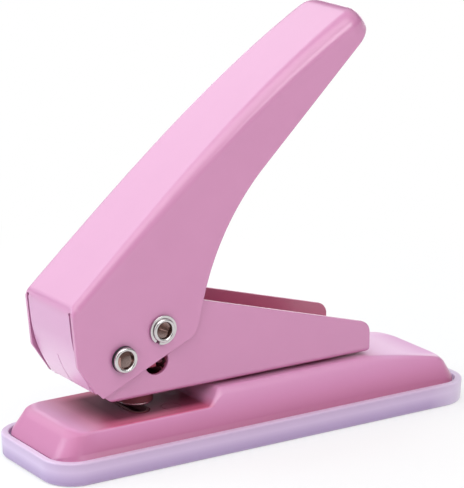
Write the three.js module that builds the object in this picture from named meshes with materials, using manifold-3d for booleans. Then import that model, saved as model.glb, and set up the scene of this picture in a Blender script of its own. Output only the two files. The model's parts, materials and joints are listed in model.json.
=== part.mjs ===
// Desk slot punch for identity cards: chip tray, pressed base, bracket, lever and punch.
// Millimetres, +Z up. +Y is the handle side, -Y the card side, +X the right-hand side.
// The origin is under the middle of the tray.
import * as THREE from 'three';
import { mergeVertices } from 'three/addons/utils/BufferGeometryUtils.js';
import Module from 'manifold-3d';

const wasm = await Module();
wasm.setup();

// General sizes
const fitGap = 0.3;
const cutOverrun = 2;
const roundSteps = 32;
const cornerSteps = 6;
const bendSteps = 4;

// Chip tray
const trayLength = 120;
const trayWidth = 34.4;
const trayCorner = 8.2;
const trayHeight = 5.85;
const trayFloor = 1.3;
const trayRim = 1.8;
const trayLedgeWidth = 1.5;
const trayLedgeDrop = 1.25;
const trayBottomEdge = 0.94;
const trayTopEdge = 0.4;
const trayBaseClearance = 0.35;

// Pressed base
const baseSheet = 1;
const flangeWidth = 0.55;
const flangeLift = 0.05;
const flareWidth = 0.5;
const flareLift = 0.6;
const wallFootWidth = 0.9;
const wallFootLift = 1.6;
const sideWallInset = 1.9;
const sideWallLean = 0.5;
const frontInsetRatio = 1.5;
const rearInsetRatio = 0.95;
const endShoulder = 1;
const deckRise = 5.6;
const raisedRise = 3.7;
const deckShoulder = 1.3;
const raisedShoulder = 2.2;
const stepBehind = 14.9;
const stepRun = 4.5;
const rampStart = 31;
const rampEnd = 54.4;
const rampDrop = 3.8;
const rampPower = 1.3;
const padRadius = 4.5;

// Bracket, a U channel of sheet
const bracketWidth = 20;
const bracketSheet = 1.2;
const bracketLift = 0.75;
const bracketBend = 1.5;
const bracketAhead = 4.4;
const bracketRear = 32.3;
const bracketFrontHeight = 15;
const bracketPeakBehind = 15.3;
const bracketPeakHeight = 23.4;
const bracketRearHeight = 7.6;
const frontLowCorner = 2.4;
const frontTopCorner = 4;
const peakCorner = 8;
const rearTopCorner = 3.2;
const rearLowCorner = 0.9;
const wallHoleAhead = 0.7;
const wallHoleDrop = 8.2;
const wallHoleRadius = 3.2;
const rivetFrontY = 0;
const rivetRearY = 22;

// Pivot and drive pins
const pivotY = -39.3;
const pivotHeight = 11.1;
const pivotRadius = 2.6;
const pivotRimRadius = 3.15;
const pivotRimThickness = 0.6;
const pivotBoreRadius = 2.1;
const pivotBoreDepth = 2.2;
const pivotConeDepth = 1.3;
const washerThickness = 0.6;
const washerRadius = 3.2;
const spacerRadius = 3.9;
const driveBehind = 10.6;
const driveRise = 5.4;
const driveRadius = 2.9;
const driveBoreRadius = 2.35;
const driveBoreDepth = 2.2;
const driveConeDepth = 1.4;
const clipThickness = 0.45;
const clipRadius = 3.55;
const clipGapAngle = 0.3;
const clipGapTurn = -2.1;
const driveLip = 0.5;
const grooveDepth = 0.5;
const leverTurn = 20;

// Lever, a folded shell of sheet; places are measured from the pivot
const leverSheet = 1.2;
const noseForward = 13.4;
const noseRise = 13.6;
const tipBehind = 67.7;
const tipRise = 77.05;
const webNoseSlope = 0.07;
const webTipSlope = 0.158;
const kinkForward = 12.1;
const kinkDrop = 0.2;
const flapEndForward = 7.3;
const flapEndDrop = 7.47;
const lowCornerForward = 5.4;
const lowCornerDrop = 8.87;
const heelBehind = 20;
const heelRise = 2.62;
const kneeBehind = 22.1;
const kneeRise = 10.7;
const elbowBehind = 39.3;
const elbowRise = 40.9;
const elbowRadius = 62;
const tipDepth = 6.3;
const tipCorner = 6.2;
const tipEdge = 4.8;
const heelRadius = 4;
const kinkRadius = 3;
const noseRadius = 3.2;
const noseEdgeRadius = 0.35;
const webEdgeRadius = 1.8;
const tipEdgeRadius = 3.2;
const tipLand = 0.6;
const slitWidth = 0.35;
const reliefRadius = 0.7;

// Punch
const bladeLength = 14;
const bladeThickness = 3;
const bladeAhead = 3;
const bladeTipInGuide = 0.4;
const bladeNotch = 0.8;
const bladeClearance = 0.25;
const bladePocketRoof = 1;
const guideDrop = 2.55;
const guideWidth = 8.9;
const guideWall = 0.6;
const guideNeckWidth = 6.4;
const guideLip = 0.55;
const blockWall = 1.4;
const blockFrontWall = 1.8;
const blockUnder = 5.4;
const legLength = 4.6;
const legRearWall = 1.3;
const bladePinRadius = 0.9;
const bladePinInset = 3;
const bladePinRise = 3;

// Return spring and its seat
const springBehind = 7.5;
const springRadius = 2.45;
const springWire = 0.7;
const springTurns = 4;
const seatRadius = 3;
const seatThickness = 0.5;
const seatBossRadius = 1.7;
const seatBossHeight = 1.35;
const seatShankRadius = 1.2;
const seatTailRadius = 2.2;
const seatTailThickness = 0.6;

// Die plate and rivets
const dieThickness = 2.8;
const dieSideGap = 0.85;
const dieRearLength = 11.2;
const dieFrontLength = 6.2;
const dieRim = 1.45;
const dieProud = 0.1;
const dieCorner = 1.5;
const dieRivetBehind = 7.7;
const dieRivetEdge = 3.8;
const dieRivetHeadRadius = 2.3;
const dieRivetRadius = 1.3;
const dieRivetTailRadius = 2.3;
const dieRivetTailThickness = 0.7;
const bracketRivetRadius = 2;
const bracketRivetHeadRadius = 3.4;
const bracketRivetHeadHeight = 1.3;
const bracketRivetTailRadius = 3;
const bracketRivetTailThickness = 0.8;

// Heights that follow from the sizes above
const ledgeTop = trayHeight - trayLedgeDrop;
const flangeBottom = ledgeTop + fitGap;
const flangeTop = flangeBottom + baseSheet;
const deckTop = flangeTop + deckRise;
const raisedTop = deckTop + raisedRise;
const bracketBottom = raisedTop + bracketLift;
const floorTop = bracketBottom + bracketSheet;
const baseHalfWidth = trayWidth / 2 - trayRim - trayBaseClearance;
const baseHalfLength = trayLength / 2 - trayRim - trayBaseClearance;
const baseCorner = trayCorner - trayRim - trayBaseClearance;
const dieHalfWidth = baseHalfWidth - sideWallInset - baseSheet - dieSideGap;
const bracketHalf = bracketWidth / 2;
const bracketInner = bracketHalf - bracketSheet;
const leverInner = bracketHalf + fitGap;
const leverHalf = leverInner + leverSheet;
const pivotZ = bracketBottom + pivotHeight;
const driveY = pivotY + driveBehind;
const driveZ = pivotZ + driveRise;
const bladeY = driveY - bladeAhead;
const springY = bladeY + springBehind;
const stepFoot = bladeY + stepBehind;
const bracketFront = pivotY - bracketAhead;
const bracketPeak = pivotY + bracketPeakBehind;
const wallHoleY = driveY - wallHoleAhead;
const wallHoleZ = driveZ - wallHoleDrop;
const turn = THREE.MathUtils.degToRad(leverTurn);
const driveArm = Math.hypot(driveBehind, driveRise);
const driveStart = Math.atan2(driveRise, driveBehind);
const driveEnd = driveStart - turn;
const driveEndY = pivotY + driveArm * Math.cos(driveEnd);
const punchTravel = driveRise - driveArm * Math.sin(driveEnd);
const guideBottom = bracketBottom - guideDrop;
const blockBottom = driveZ - blockUnder;

const material = (color, roughness, metalness) =>
  new THREE.MeshStandardMaterial({ color, roughness, metalness });
const pinkPaint = material('#d68fb8', 0.3, 0.1);
const trayPlastic = material('#cfc3e2', 0.35, 0);
const nickel = material('#c9c7c6', 0.2, 0.95);
const steel = material('#8b8d90', 0.35, 0.9);
const darkSteel = material('#4a4a4e', 0.4, 0.8);
const blackPlastic = material('#17161a', 0.5, 0);

// A closed geometry becomes a solid once only its corner points are left
function solid(geometry) {
  const plain = geometry.clone();
  plain.deleteAttribute('normal');
  plain.deleteAttribute('uv');
  const merged = mergeVertices(plain);
  return new wasm.Manifold(new wasm.Mesh({
    numProp: 3,
    vertProperties: new Float32Array(merged.attributes.position.array),
    triVerts: new Uint32Array(merged.index.array),
  }));
}

function part(name, shape, look) {
  const found = shape.getMesh();
  const geometry = new THREE.BufferGeometry();
  geometry.setAttribute('position', new THREE.BufferAttribute(new Float32Array(found.vertProperties), 3));
  geometry.setIndex(new THREE.BufferAttribute(new Uint32Array(found.triVerts), 1));
  const flat = geometry.toNonIndexed();
  flat.computeVertexNormals();
  const mesh = new THREE.Mesh(flat, look);
  mesh.name = name;
  return mesh;
}

const without = (shape, cuts) => cuts.reduce((left, cut) => left.subtract(cut), shape);
const withAll = (shape, extras) => extras.reduce((sum, extra) => sum.add(extra), shape);

// Extrusions of an outline along each axis
const outline = (points) => new THREE.Shape(points.map(([u, v]) => new THREE.Vector2(u, v)));

function alongZ(points, low, high) {
  const geometry = new THREE.ExtrudeGeometry(outline(points), { depth: high - low, bevelEnabled: false });
  return solid(geometry.translate(0, 0, low));
}

function alongX(points, low, high) {
  const geometry = new THREE.ExtrudeGeometry(outline(points), { depth: high - low, bevelEnabled: false });
  const axes = new THREE.Matrix4().makeBasis(
    new THREE.Vector3(0, 1, 0), new THREE.Vector3(0, 0, 1), new THREE.Vector3(1, 0, 0));
  return solid(geometry.applyMatrix4(axes).translate(low, 0, 0));
}

function alongY(points, low, high) {
  const geometry = new THREE.ExtrudeGeometry(outline(points), { depth: high - low, bevelEnabled: false });
  const axes = new THREE.Matrix4().makeBasis(
    new THREE.Vector3(1, 0, 0), new THREE.Vector3(0, 0, 1), new THREE.Vector3(0, -1, 0));
  return solid(geometry.applyMatrix4(axes).translate(0, high, 0));
}

// Outline helpers
function arc(centreU, centreV, radius, from, to, steps) {
  const points = [];
  for (let i = 0; i <= steps; i += 1) {
    const angle = from + (to - from) * i / steps;
    points.push([centreU + radius * Math.cos(angle), centreV + radius * Math.sin(angle)]);
  }
  return points;
}

const circle = (centreU, centreV, radius) =>
  arc(centreU, centreV, radius, 0, 2 * Math.PI, roundSteps).slice(0, roundSteps);

function roundedBox(halfU, halfV, radius, centreU = 0, centreV = 0) {
  const corners = [[1, 1], [-1, 1], [-1, -1], [1, -1]];
  return corners.flatMap(([signU, signV], i) => arc(
    centreU + signU * (halfU - radius), centreV + signV * (halfV - radius), radius,
    i * Math.PI / 2, (i + 1) * Math.PI / 2, cornerSteps));
}

const obround = (length, width, centreU, centreV) => {
  const reach = (length - width) / 2;
  return [
    ...arc(centreU + reach, centreV, width / 2, -Math.PI / 2, Math.PI / 2, roundSteps / 2),
    ...arc(centreU - reach, centreV, width / 2, Math.PI / 2, 3 * Math.PI / 2, roundSteps / 2),
  ];
};

// The round that replaces the corner b of the path a, b, c
function fillet(a, b, c, radius, steps = cornerSteps) {
  const toA = new THREE.Vector2(a[0] - b[0], a[1] - b[1]).normalize();
  const toC = new THREE.Vector2(c[0] - b[0], c[1] - b[1]).normalize();
  const half = Math.acos(THREE.MathUtils.clamp(toA.dot(toC), -1, 1)) / 2;
  const middle = toA.clone().add(toC).normalize().multiplyScalar(radius / Math.sin(half));
  const centre = new THREE.Vector2(b[0], b[1]).add(middle);
  const start = new THREE.Vector2(b[0], b[1]).addScaledVector(toA, radius / Math.tan(half)).sub(centre);
  const end = new THREE.Vector2(b[0], b[1]).addScaledVector(toC, radius / Math.tan(half)).sub(centre);
  const sweep = Math.atan2(start.cross(end), start.dot(end));
  return arc(centre.x, centre.y, radius, start.angle(), start.angle() + sweep, steps);
}

function roundedPolygon(corners) {
  return corners.flatMap(([u, v, radius], i) => {
    const before = corners[(i + corners.length - 1) % corners.length];
    const after = corners[(i + 1) % corners.length];
    return radius > 0 ? fillet(before, [u, v], after, radius) : [[u, v]];
  });
}

// A round piece on an axis along Z or X from a profile of radius and height
function turned(profile) {
  const points = profile.map(([radius, height]) => new THREE.Vector2(radius, height));
  return new THREE.LatheGeometry(points, roundSteps);
}
const turnedZ = (profile, x, y) => solid(turned(profile).rotateX(Math.PI / 2).translate(x, y, 0));
const turnedX = (profile, y, z) => solid(turned(profile).rotateZ(-Math.PI / 2).translate(0, y, z));

// A closed skin through rings of points that match one to one
function loft(rings) {
  const count = rings[0].length;
  const vertices = rings.flat(2);
  const faces = [];
  for (let k = 0; k + 1 < rings.length; k += 1) {
    for (let i = 0; i < count; i += 1) {
      const a = k * count + i;
      const b = k * count + (i + 1) % count;
      faces.push(a, b, b + count, a, b + count, a + count);
    }
  }
  const last = (rings.length - 1) * count;
  for (let i = 1; i + 1 < count; i += 1) {
    faces.push(0, i + 1, i);
    faces.push(last, last + i, last + i + 1);
  }
  return skin(vertices, faces);
}

function skin(vertices, faces) {
  const geometry = new THREE.BufferGeometry();
  geometry.setAttribute('position', new THREE.Float32BufferAttribute(vertices, 3));
  geometry.setIndex(faces);
  return solid(geometry);
}

// Chip tray: rounded box with a ledge for the base and a well for the chips
function makeTray() {
  const halfX = trayWidth / 2;
  const halfY = trayLength / 2;
  const level = (inset, height) => roundedBox(halfX - inset, halfY - inset, trayCorner - inset)
    .map(([x, y]) => [x, y, height]);
  const bottomRound = arc(trayBottomEdge, trayBottomEdge, trayBottomEdge,
    -Math.PI / 2, -Math.PI, cornerSteps).map(([inset, height]) => level(inset, height));
  const topRound = arc(trayTopEdge, trayHeight - trayTopEdge, trayTopEdge,
    Math.PI, Math.PI / 2, cornerSteps).map(([inset, height]) => level(inset, height));
  const body = loft([...bottomRound, ...topRound]);
  const recess = alongZ(roundedBox(halfX - trayRim, halfY - trayRim, trayCorner - trayRim),
    ledgeTop, trayHeight + cutOverrun);
  const ledgeInset = trayRim + trayLedgeWidth;
  const well = alongZ(roundedBox(halfX - ledgeInset, halfY - ledgeInset, trayCorner - ledgeInset),
    trayFloor, trayHeight + cutOverrun);
  return without(body, [recess, well]);
}

// Height of the base's top along Y: low deck, step, raised deck and rear ramp
function topHeight(y) {
  if (y > rampStart) {
    const along = Math.min((y - rampStart) / (rampEnd - rampStart), 1);
    return raisedTop - rampDrop * along ** rampPower;
  }
  return deckTop + raisedRise * THREE.MathUtils.smoothstep(y, stepFoot, stepFoot + stepRun);
}

// One ring of the base's skin, with matching points left and right of X = 0
function baseRing(inset, heightAt) {
  const radius = baseCorner - inset(0) / 2;
  const rearReach = baseHalfLength - rearInsetRatio * inset(0);
  const frontReach = baseHalfLength - frontInsetRatio * inset(0);
  const stepStations = arc(0, 0, 1, Math.PI / 2, -Math.PI / 2, cornerSteps)
    .map(([, share]) => stepFoot + stepRun * (1 + share) / 2);
  const rampStations = [1, 0.75, 0.5, 0.25, 0].map((share) => rampStart + (rampEnd - rampStart) * share);
  const side = [...rampStations, rivetFrontY, ...stepStations, bracketFront]
    .filter((y) => Math.abs(y) < baseHalfLength - frontInsetRatio * sideWallInset - baseCorner);
  const half = [
    ...arc(-radius, rearReach - radius, radius, Math.PI / 2, 0, cornerSteps),
    ...side.map((y) => [0, y]),
    ...arc(-radius, radius - frontReach, radius, 0, -Math.PI / 2, cornerSteps),
  ].map(([x, y]) => [baseHalfWidth - inset(y) + x, y, heightAt(y)]);
  return [...half, ...half.map(([x, y, z]) => [-x, y, z]).reverse()];
}

function baseSolid(thickness, bottom) {
  const raised = (y) => (topHeight(y) - deckTop) / raisedRise;
  const wall = (y) => sideWallInset + sideWallLean * raised(y);
  const nearEnd = (y) => THREE.MathUtils.smoothstep(Math.abs(y), baseHalfLength - 2 * baseCorner, baseHalfLength);
  const shoulder = (y) => Math.max(
    deckShoulder + (raisedShoulder - deckShoulder) * raised(y) + endShoulder * nearEnd(y) - thickness, fitGap);
  const rings = [baseRing(() => thickness, () => bottom)];
  if (thickness === 0) {
    rings.push(baseRing(() => 0, () => flangeTop));
    rings.push(baseRing(() => flangeWidth, () => flangeTop + flangeLift));
  }
  rings.push(baseRing(() => flangeWidth + flareWidth + thickness,
    () => flangeTop + flareLift - thickness / 2));
  rings.push(baseRing(() => flangeWidth + wallFootWidth + thickness,
    () => flangeTop + wallFootLift - thickness / 4));
  for (const [level, share] of arc(1, 0, 1, Math.PI, Math.PI / 2, cornerSteps)) {
    rings.push(baseRing((y) => wall(y) + thickness + shoulder(y) * level,
      (y) => topHeight(y) - thickness - shoulder(y) * (1 - share)));
  }
  return crownedLoft(rings);
}

// A loft whose last ring is closed by strips from the right side to the left side
function crownedLoft(rings) {
  const count = rings[0].length;
  const vertices = rings.flat(2);
  const faces = [];
  for (let k = 0; k + 1 < rings.length; k += 1) {
    for (let i = 0; i < count; i += 1) {
      const a = k * count + i;
      const b = k * count + (i + 1) % count;
      faces.push(a, b + count, b, a, a + count, b + count);
    }
  }
  const last = (rings.length - 1) * count;
  for (let i = 0; i < count / 2 - 1; i += 1) {
    const left = count - 1 - i;
    faces.push(i, i + 1, left, i + 1, left - 1, left);
    faces.push(last + i, last + left, last + i + 1, last + i + 1, last + left, last + left - 1);
  }
  return skin(vertices, faces);
}

const dieRivetY = bladeY + dieRivetBehind;
const dieRivetX = dieHalfWidth - dieRivetEdge;
const bracketRivetPlaces = [rivetFrontY, rivetRearY];
const dieOuterLength = bladeLength + 2 * (bladeClearance + dieRim);
const dieOuterWidth = bladeThickness + 2 * (bladeClearance + dieRim);

// A countersunk profile, fatter by a clearance where it is a hole
const countersink = (clearance, low, high) => [
  [0, low], [dieRivetRadius + clearance, low], [dieRivetRadius + clearance, deckTop - baseSheet],
  [dieRivetHeadRadius + clearance, high], [0, high],
];

// Base: a pressed shell with a flange, pads under the bracket and openings for die and rivets
function makeBase() {
  const shell = baseSolid(0, flangeBottom).subtract(baseSolid(baseSheet, flangeBottom - cutOverrun));
  const padTop = bracketBottom - fitGap;
  const pads = bracketRivetPlaces.map((y) => alongZ(circle(0, y, padRadius), raisedTop - baseSheet / 2, padTop));
  const rivetHoles = bracketRivetPlaces.map((y) =>
    alongZ(circle(0, y, bracketRivetRadius + fitGap), raisedTop - cutOverrun, padTop + cutOverrun));
  const dieRivetHoles = [dieRivetX, -dieRivetX].map((x) =>
    turnedZ(countersink(fitGap, deckTop - cutOverrun, deckTop + fitGap), x, dieRivetY));
  const dieOpening = alongZ(obround(dieOuterLength + 2 * fitGap, dieOuterWidth + 2 * fitGap, 0, bladeY),
    deckTop - cutOverrun, deckTop + cutOverrun);
  return without(withAll(shell, pads), [...rivetHoles, ...dieRivetHoles, dieOpening]);
}

// Die plate under the deck, with a rim round the slot that fills the deck's opening
function makeDie() {
  const top = deckTop - baseSheet - fitGap;
  const plateHalf = (dieRearLength + dieFrontLength) / 2;
  const plate = alongZ(roundedBox(dieHalfWidth, plateHalf, dieCorner, 0,
    bladeY + (dieRearLength - dieFrontLength) / 2), top - dieThickness, top);
  const rim = alongZ(obround(dieOuterLength, dieOuterWidth, 0, bladeY),
    top - dieThickness / 2, deckTop + dieProud);
  const slot = alongZ(obround(bladeLength + 2 * bladeClearance, bladeThickness + 2 * bladeClearance, 0, bladeY),
    top - dieThickness - cutOverrun, deckTop + cutOverrun);
  const holes = [dieRivetX, -dieRivetX].map((x) =>
    alongZ(circle(x, dieRivetY, dieRivetRadius + fitGap), top - dieThickness - cutOverrun, top + cutOverrun));
  return without(plate.add(rim), [slot, ...holes]);
}

function makeDieRivet(x) {
  const plateBottom = deckTop - baseSheet - fitGap - dieThickness;
  const tailTop = plateBottom - fitGap;
  const [, ...shank] = countersink(0, tailTop, deckTop);
  const tail = [[0, tailTop - dieRivetTailThickness], [dieRivetTailRadius, tailTop - dieRivetTailThickness],
    [dieRivetTailRadius, tailTop]];
  return turnedZ([...tail, ...shank], x, dieRivetY);
}

function makeBracketRivet(y) {
  const headFoot = floorTop + fitGap;
  const tailTop = raisedTop - baseSheet - fitGap;
  const dome = arc(0, 0, 1, 0, Math.PI / 2, cornerSteps).map(([shareU, shareV]) =>
    [bracketRivetHeadRadius * shareU, headFoot + bracketRivetHeadHeight * shareV]);
  const closed = dome.map(([radius, height], i) => [i === cornerSteps ? 0 : radius, height]);
  return turnedZ([
    [0, tailTop - bracketRivetTailThickness], [bracketRivetTailRadius, tailTop - bracketRivetTailThickness],
    [bracketRivetTailRadius, tailTop], [bracketRivetRadius, tailTop], [bracketRivetRadius, headFoot],
    ...closed,
  ], 0, y);
}

// Path of the drive pin through the bracket's walls: a band round the pivot
function driveSlot(radius) {
  const outer = arc(pivotY, pivotZ, driveArm + radius, driveEnd, driveStart, cornerSteps);
  const topRound = arc(driveY, driveZ, radius, driveStart, driveStart + Math.PI, cornerSteps);
  const inner = arc(pivotY, pivotZ, driveArm - radius, driveStart, driveEnd, cornerSteps);
  const lowEnd = [driveEndY, pivotZ + driveArm * Math.sin(driveEnd)];
  const lowRound = arc(lowEnd[0], lowEnd[1], radius, driveEnd + Math.PI, driveEnd + 2 * Math.PI, cornerSteps);
  return [outer, topRound, inner, lowRound].flatMap((run) => run.slice(0, cornerSteps));
}

// Bracket: a U section along Y, cut to its side outline, with pin and rivet openings
function makeBracket() {
  const wallTop = floorTop + bracketPeakHeight;
  const section = roundedPolygon([
    [-bracketHalf, bracketBottom, bracketBend], [bracketHalf, bracketBottom, bracketBend],
    [bracketHalf, wallTop, 0], [bracketInner, wallTop, 0],
    [bracketInner, floorTop, bracketBend - bracketSheet], [-bracketInner, floorTop, bracketBend - bracketSheet],
    [-bracketInner, wallTop, 0], [-bracketHalf, wallTop, 0],
  ]);
  const channel = alongY(section, bracketFront, bracketRear);
  const side = roundedPolygon([
    [bracketFront, bracketBottom, frontLowCorner], [bracketRear, bracketBottom, rearLowCorner],
    [bracketRear, bracketBottom + bracketRearHeight, rearTopCorner],
    [bracketPeak, bracketBottom + bracketPeakHeight, peakCorner],
    [bracketFront, bracketBottom + bracketFrontHeight, frontTopCorner],
  ]);
  const cutHalf = bracketHalf + cutOverrun;
  const walls = alongX(side, -cutHalf, cutHalf);
  const slots = alongX(driveSlot(driveRadius + fitGap), -cutHalf, cutHalf);
  const round = alongX(circle(wallHoleY, wallHoleZ, wallHoleRadius), -cutHalf, cutHalf);
  const pivotHole = alongX(circle(pivotY, pivotZ, pivotRadius + fitGap), -cutHalf, cutHalf);
  const down = bracketBottom - cutOverrun;
  const up = floorTop + cutOverrun;
  const neck = alongZ(obround(guideLength + 2 * fitGap, guideNeckWidth + 2 * fitGap, 0, bladeY), down, up);
  const seatHole = alongZ(circle(0, springY, seatShankRadius + fitGap), down, up);
  const rivetHoles = bracketRivetPlaces.map((y) => alongZ(circle(0, y, bracketRivetRadius + fitGap), down, up));
  return without(channel.intersect(walls), [slots, round, pivotHole, neck, seatHole, ...rivetHoles]);
}

// Punch guide: a collar under the bracket's floor, held by a lip above it
const guideLength = bladeLength + 2 * (bladeClearance + guideWall);

function makeGuide() {
  const collar = alongZ(obround(guideLength, guideWidth, 0, bladeY), guideBottom, bracketBottom - fitGap);
  const neck = alongZ(obround(guideLength, guideNeckWidth, 0, bladeY),
    bracketBottom - guideDrop / 2, floorTop + fitGap);
  const lipSpread = 2 * (fitGap + guideWall);
  const lip = alongZ(obround(guideLength + lipSpread, guideNeckWidth + lipSpread, 0, bladeY),
    floorTop + fitGap, floorTop + fitGap + guideLip);
  const slot = alongZ(obround(bladeLength + 2 * bladeClearance, bladeThickness + 2 * bladeClearance, 0, bladeY),
    guideBottom - cutOverrun, floorTop + fitGap + guideLip + cutOverrun);
  return withAll(collar, [neck, lip]).subtract(slot);
}

// Punch block: rides between the walls, holds the blade in a leg and takes the drive pin in a slot
const blockHalf = bracketInner - fitGap;
const blockTop = driveZ + driveRadius + fitGap + blockWall;
const blockFront = bladeY - bladeThickness / 2 - fitGap - blockFrontWall + fitGap;
const blockRear = Math.max(driveEndY + driveRadius + fitGap + blockWall, springY + seatRadius + fitGap);
const legBottom = blockBottom - legLength;
const legRear = bladeY + bladeThickness / 2 + fitGap + legRearWall;
const bladeTop = driveZ - driveRadius - fitGap - bladePocketRoof - fitGap;
const bladePinX = bladeLength / 2 - bladePinInset;
const bladePinZ = legBottom + bladePinRise;

function makeBlock() {
  const body = alongX([
    [blockFront, legBottom], [legRear, legBottom], [legRear, blockBottom], [blockRear, blockBottom],
    [blockRear, blockTop], [blockFront, blockTop],
  ], -blockHalf, blockHalf);
  const boss = alongZ(circle(0, springY, seatBossRadius), blockBottom - seatBossHeight, blockBottom + fitGap);
  const pinReach = driveEndY - driveY + 2 * (driveRadius + fitGap);
  const pinSlot = alongX(obround(pinReach, 2 * (driveRadius + fitGap), (driveY + driveEndY) / 2, driveZ),
    -blockHalf - cutOverrun, blockHalf + cutOverrun);
  const pocket = alongZ(obround(bladeLength + 2 * fitGap, bladeThickness + 2 * fitGap, 0, bladeY),
    legBottom - cutOverrun, bladeTop + fitGap);
  return without(body.add(boss), [pinSlot, pocket, ...bladePinHoles()]);
}

function bladePinHoles() {
  return [-1, 1].map((sign) => alongY(
    circle(sign * bladePinX, bladePinZ, bladePinRadius + fitGap),
    blockFront - cutOverrun, legRear + cutOverrun));
}

// Blade: a flat bar with round ends and a shallow notch across its cutting end
function makeBlade() {
  const bottom = guideBottom + bladeTipInGuide;
  const bar = alongZ(obround(bladeLength, bladeThickness, 0, bladeY), bottom, bladeTop);
  const notch = alongY([[-bladeLength / 2 - cutOverrun, bottom - cutOverrun],
    [bladeLength / 2 + cutOverrun, bottom - cutOverrun],
    [bladeLength / 2, bottom], [0, bottom + bladeNotch], [-bladeLength / 2, bottom]],
  bladeY - bladeThickness, bladeY + bladeThickness);
  return without(bar, [notch, ...bladePinHoles()]);
}

const makeBladePin = (sign) => alongY(circle(sign * bladePinX, bladePinZ, bladePinRadius),
  blockFront + fitGap, legRear - fitGap);

// Return spring: one unbroken tube along a helix with a straight stub at each end
const springFoot = floorTop + fitGap + seatThickness + fitGap;
const springHead = blockBottom - fitGap;

function makeSpring() {
  const rise = springHead - springFoot - springWire;
  const pitch = rise / springTurns;
  const stepsPerTurn = 8;
  const sides = 5;
  const total = springTurns * stepsPerTurn;
  const centres = [];
  for (let i = 0; i <= total; i += 1) {
    const angle = 2 * Math.PI * i / stepsPerTurn;
    centres.push(new THREE.Vector3(springRadius * Math.cos(angle), springY + springRadius * Math.sin(angle),
      springFoot + springWire / 2 + pitch * i / stepsPerTurn));
  }
  const stub = (end, sign) => new THREE.Vector3(end.x, end.y + sign * springWire, end.z);
  centres.unshift(stub(centres[0], -1));
  centres.push(stub(centres[centres.length - 1], 1));
  reportLeastGap(centres, pitch, stepsPerTurn);
  const rings = centres.map((centre, i) => {
    const before = centres[Math.max(i - 1, 0)];
    const after = centres[Math.min(i + 1, centres.length - 1)];
    const ahead = after.clone().sub(before).normalize();
    const out = new THREE.Vector3(centre.x, centre.y - springY, 0).normalize();
    const side = new THREE.Vector3().crossVectors(ahead, out).normalize();
    const across = new THREE.Vector3().crossVectors(side, ahead).normalize();
    return arc(0, 0, springWire / 2, 0, 2 * Math.PI, sides).slice(0, sides).map(([u, v]) =>
      centre.clone().addScaledVector(across, u).addScaledVector(side, v).toArray());
  });
  return loft(rings);
}

function reportLeastGap(centres, pitch, stepsPerTurn) {
  let least = Infinity;
  centres.forEach((point, i) => {
    centres.slice(i + stepsPerTurn / 2 + 1).forEach((other) => {
      least = Math.min(least, point.distanceTo(other) - springWire);
    });
  });
  console.log(`punch_spring: least gap to itself ${least.toFixed(2)} mm at a pitch of ${pitch.toFixed(2)} mm`);
}

// Spring seat: a stud through the floor whose boss centres the spring
function makeSeat() {
  const discFoot = floorTop + fitGap;
  const tailTop = bracketBottom - fitGap;
  return turnedZ([
    [0, tailTop - seatTailThickness], [seatTailRadius, tailTop - seatTailThickness], [seatTailRadius, tailTop],
    [seatShankRadius, tailTop], [seatShankRadius, discFoot], [seatRadius, discFoot],
    [seatRadius, discFoot + seatThickness], [seatBossRadius, discFoot + seatThickness],
    [seatBossRadius, discFoot + seatThickness + seatBossHeight], [0, discFoot + seatThickness + seatBossHeight],
  ], 0, springY);
}

// Half profile of a pin's bored end, from its rim inwards to the cone's point
const boredEnd = (end, boreRadius, boreDepth, coneDepth) => [
  [boreRadius, end], [boreRadius, end - boreDepth], [0, end - boreDepth - coneDepth],
];

const mirrored = (half) => [...half.map(([radius, x]) => [radius, -x]).reverse(), ...half];

const washerInner = leverHalf + fitGap;
const rimFoot = washerInner + washerThickness + fitGap / 2;
const pivotEnd = rimFoot + pivotRimThickness;

function makePivotPin() {
  const half = [
    [pivotRadius, rimFoot], [pivotRimRadius, rimFoot], [pivotRimRadius, pivotEnd],
    ...boredEnd(pivotEnd, pivotBoreRadius, pivotBoreDepth, pivotConeDepth),
  ];
  return turnedX(mirrored(half), pivotY, pivotZ);
}

function makeRing(inner, outer, low, high) {
  return turnedX([[inner, low], [outer, low], [outer, high], [inner, high], [inner, low]], pivotY, pivotZ);
}

const clipFoot = leverHalf + fitGap;
const grooveEnd = clipFoot + clipThickness + fitGap / 2;
const driveTip = grooveEnd + driveLip;

function makeDrivePin() {
  const neckRadius = driveRadius - grooveDepth;
  const half = [
    [driveRadius, clipFoot - fitGap / 2], [neckRadius, clipFoot - fitGap / 2], [neckRadius, grooveEnd],
    [driveRadius, grooveEnd], [driveRadius, driveTip],
    ...boredEnd(driveTip, driveBoreRadius - grooveDepth, driveBoreDepth, driveConeDepth),
  ];
  return turnedX(mirrored(half), driveY, driveZ);
}

// Split ring that sits in the drive pin's groove
function makeClip(sign) {
  const inner = driveRadius - grooveDepth + fitGap / 2;
  const from = clipGapTurn + clipGapAngle / 2;
  const to = clipGapTurn + 2 * Math.PI - clipGapAngle / 2;
  const ring = [
    ...arc(driveY, driveZ, clipRadius, from, to, roundSteps),
    ...arc(driveY, driveZ, inner, to, from, roundSteps),
  ];
  const low = sign > 0 ? clipFoot : -clipFoot - clipThickness;
  return alongX(ring, low, low + clipThickness);
}

// Lever: side outline points in the Y-Z plane
const fromPivot = (behind, above) => [pivotY + behind, pivotZ + above];
const flapEnd = fromPivot(-flapEndForward, -flapEndDrop);
const kink = fromPivot(-kinkForward, -kinkDrop);
const nose = fromPivot(-noseForward, noseRise);
const tip = fromPivot(tipBehind, tipRise);
const lowCorner = fromPivot(-lowCornerForward, -lowCornerDrop);
const heel = fromPivot(heelBehind, heelRise);
const knee = fromPivot(kneeBehind, kneeRise);
const elbow = fromPivot(elbowBehind, elbowRise);

const between = (a, b, share) => [a[0] + (b[0] - a[0]) * share, a[1] + (b[1] - a[1]) * share];

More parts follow.
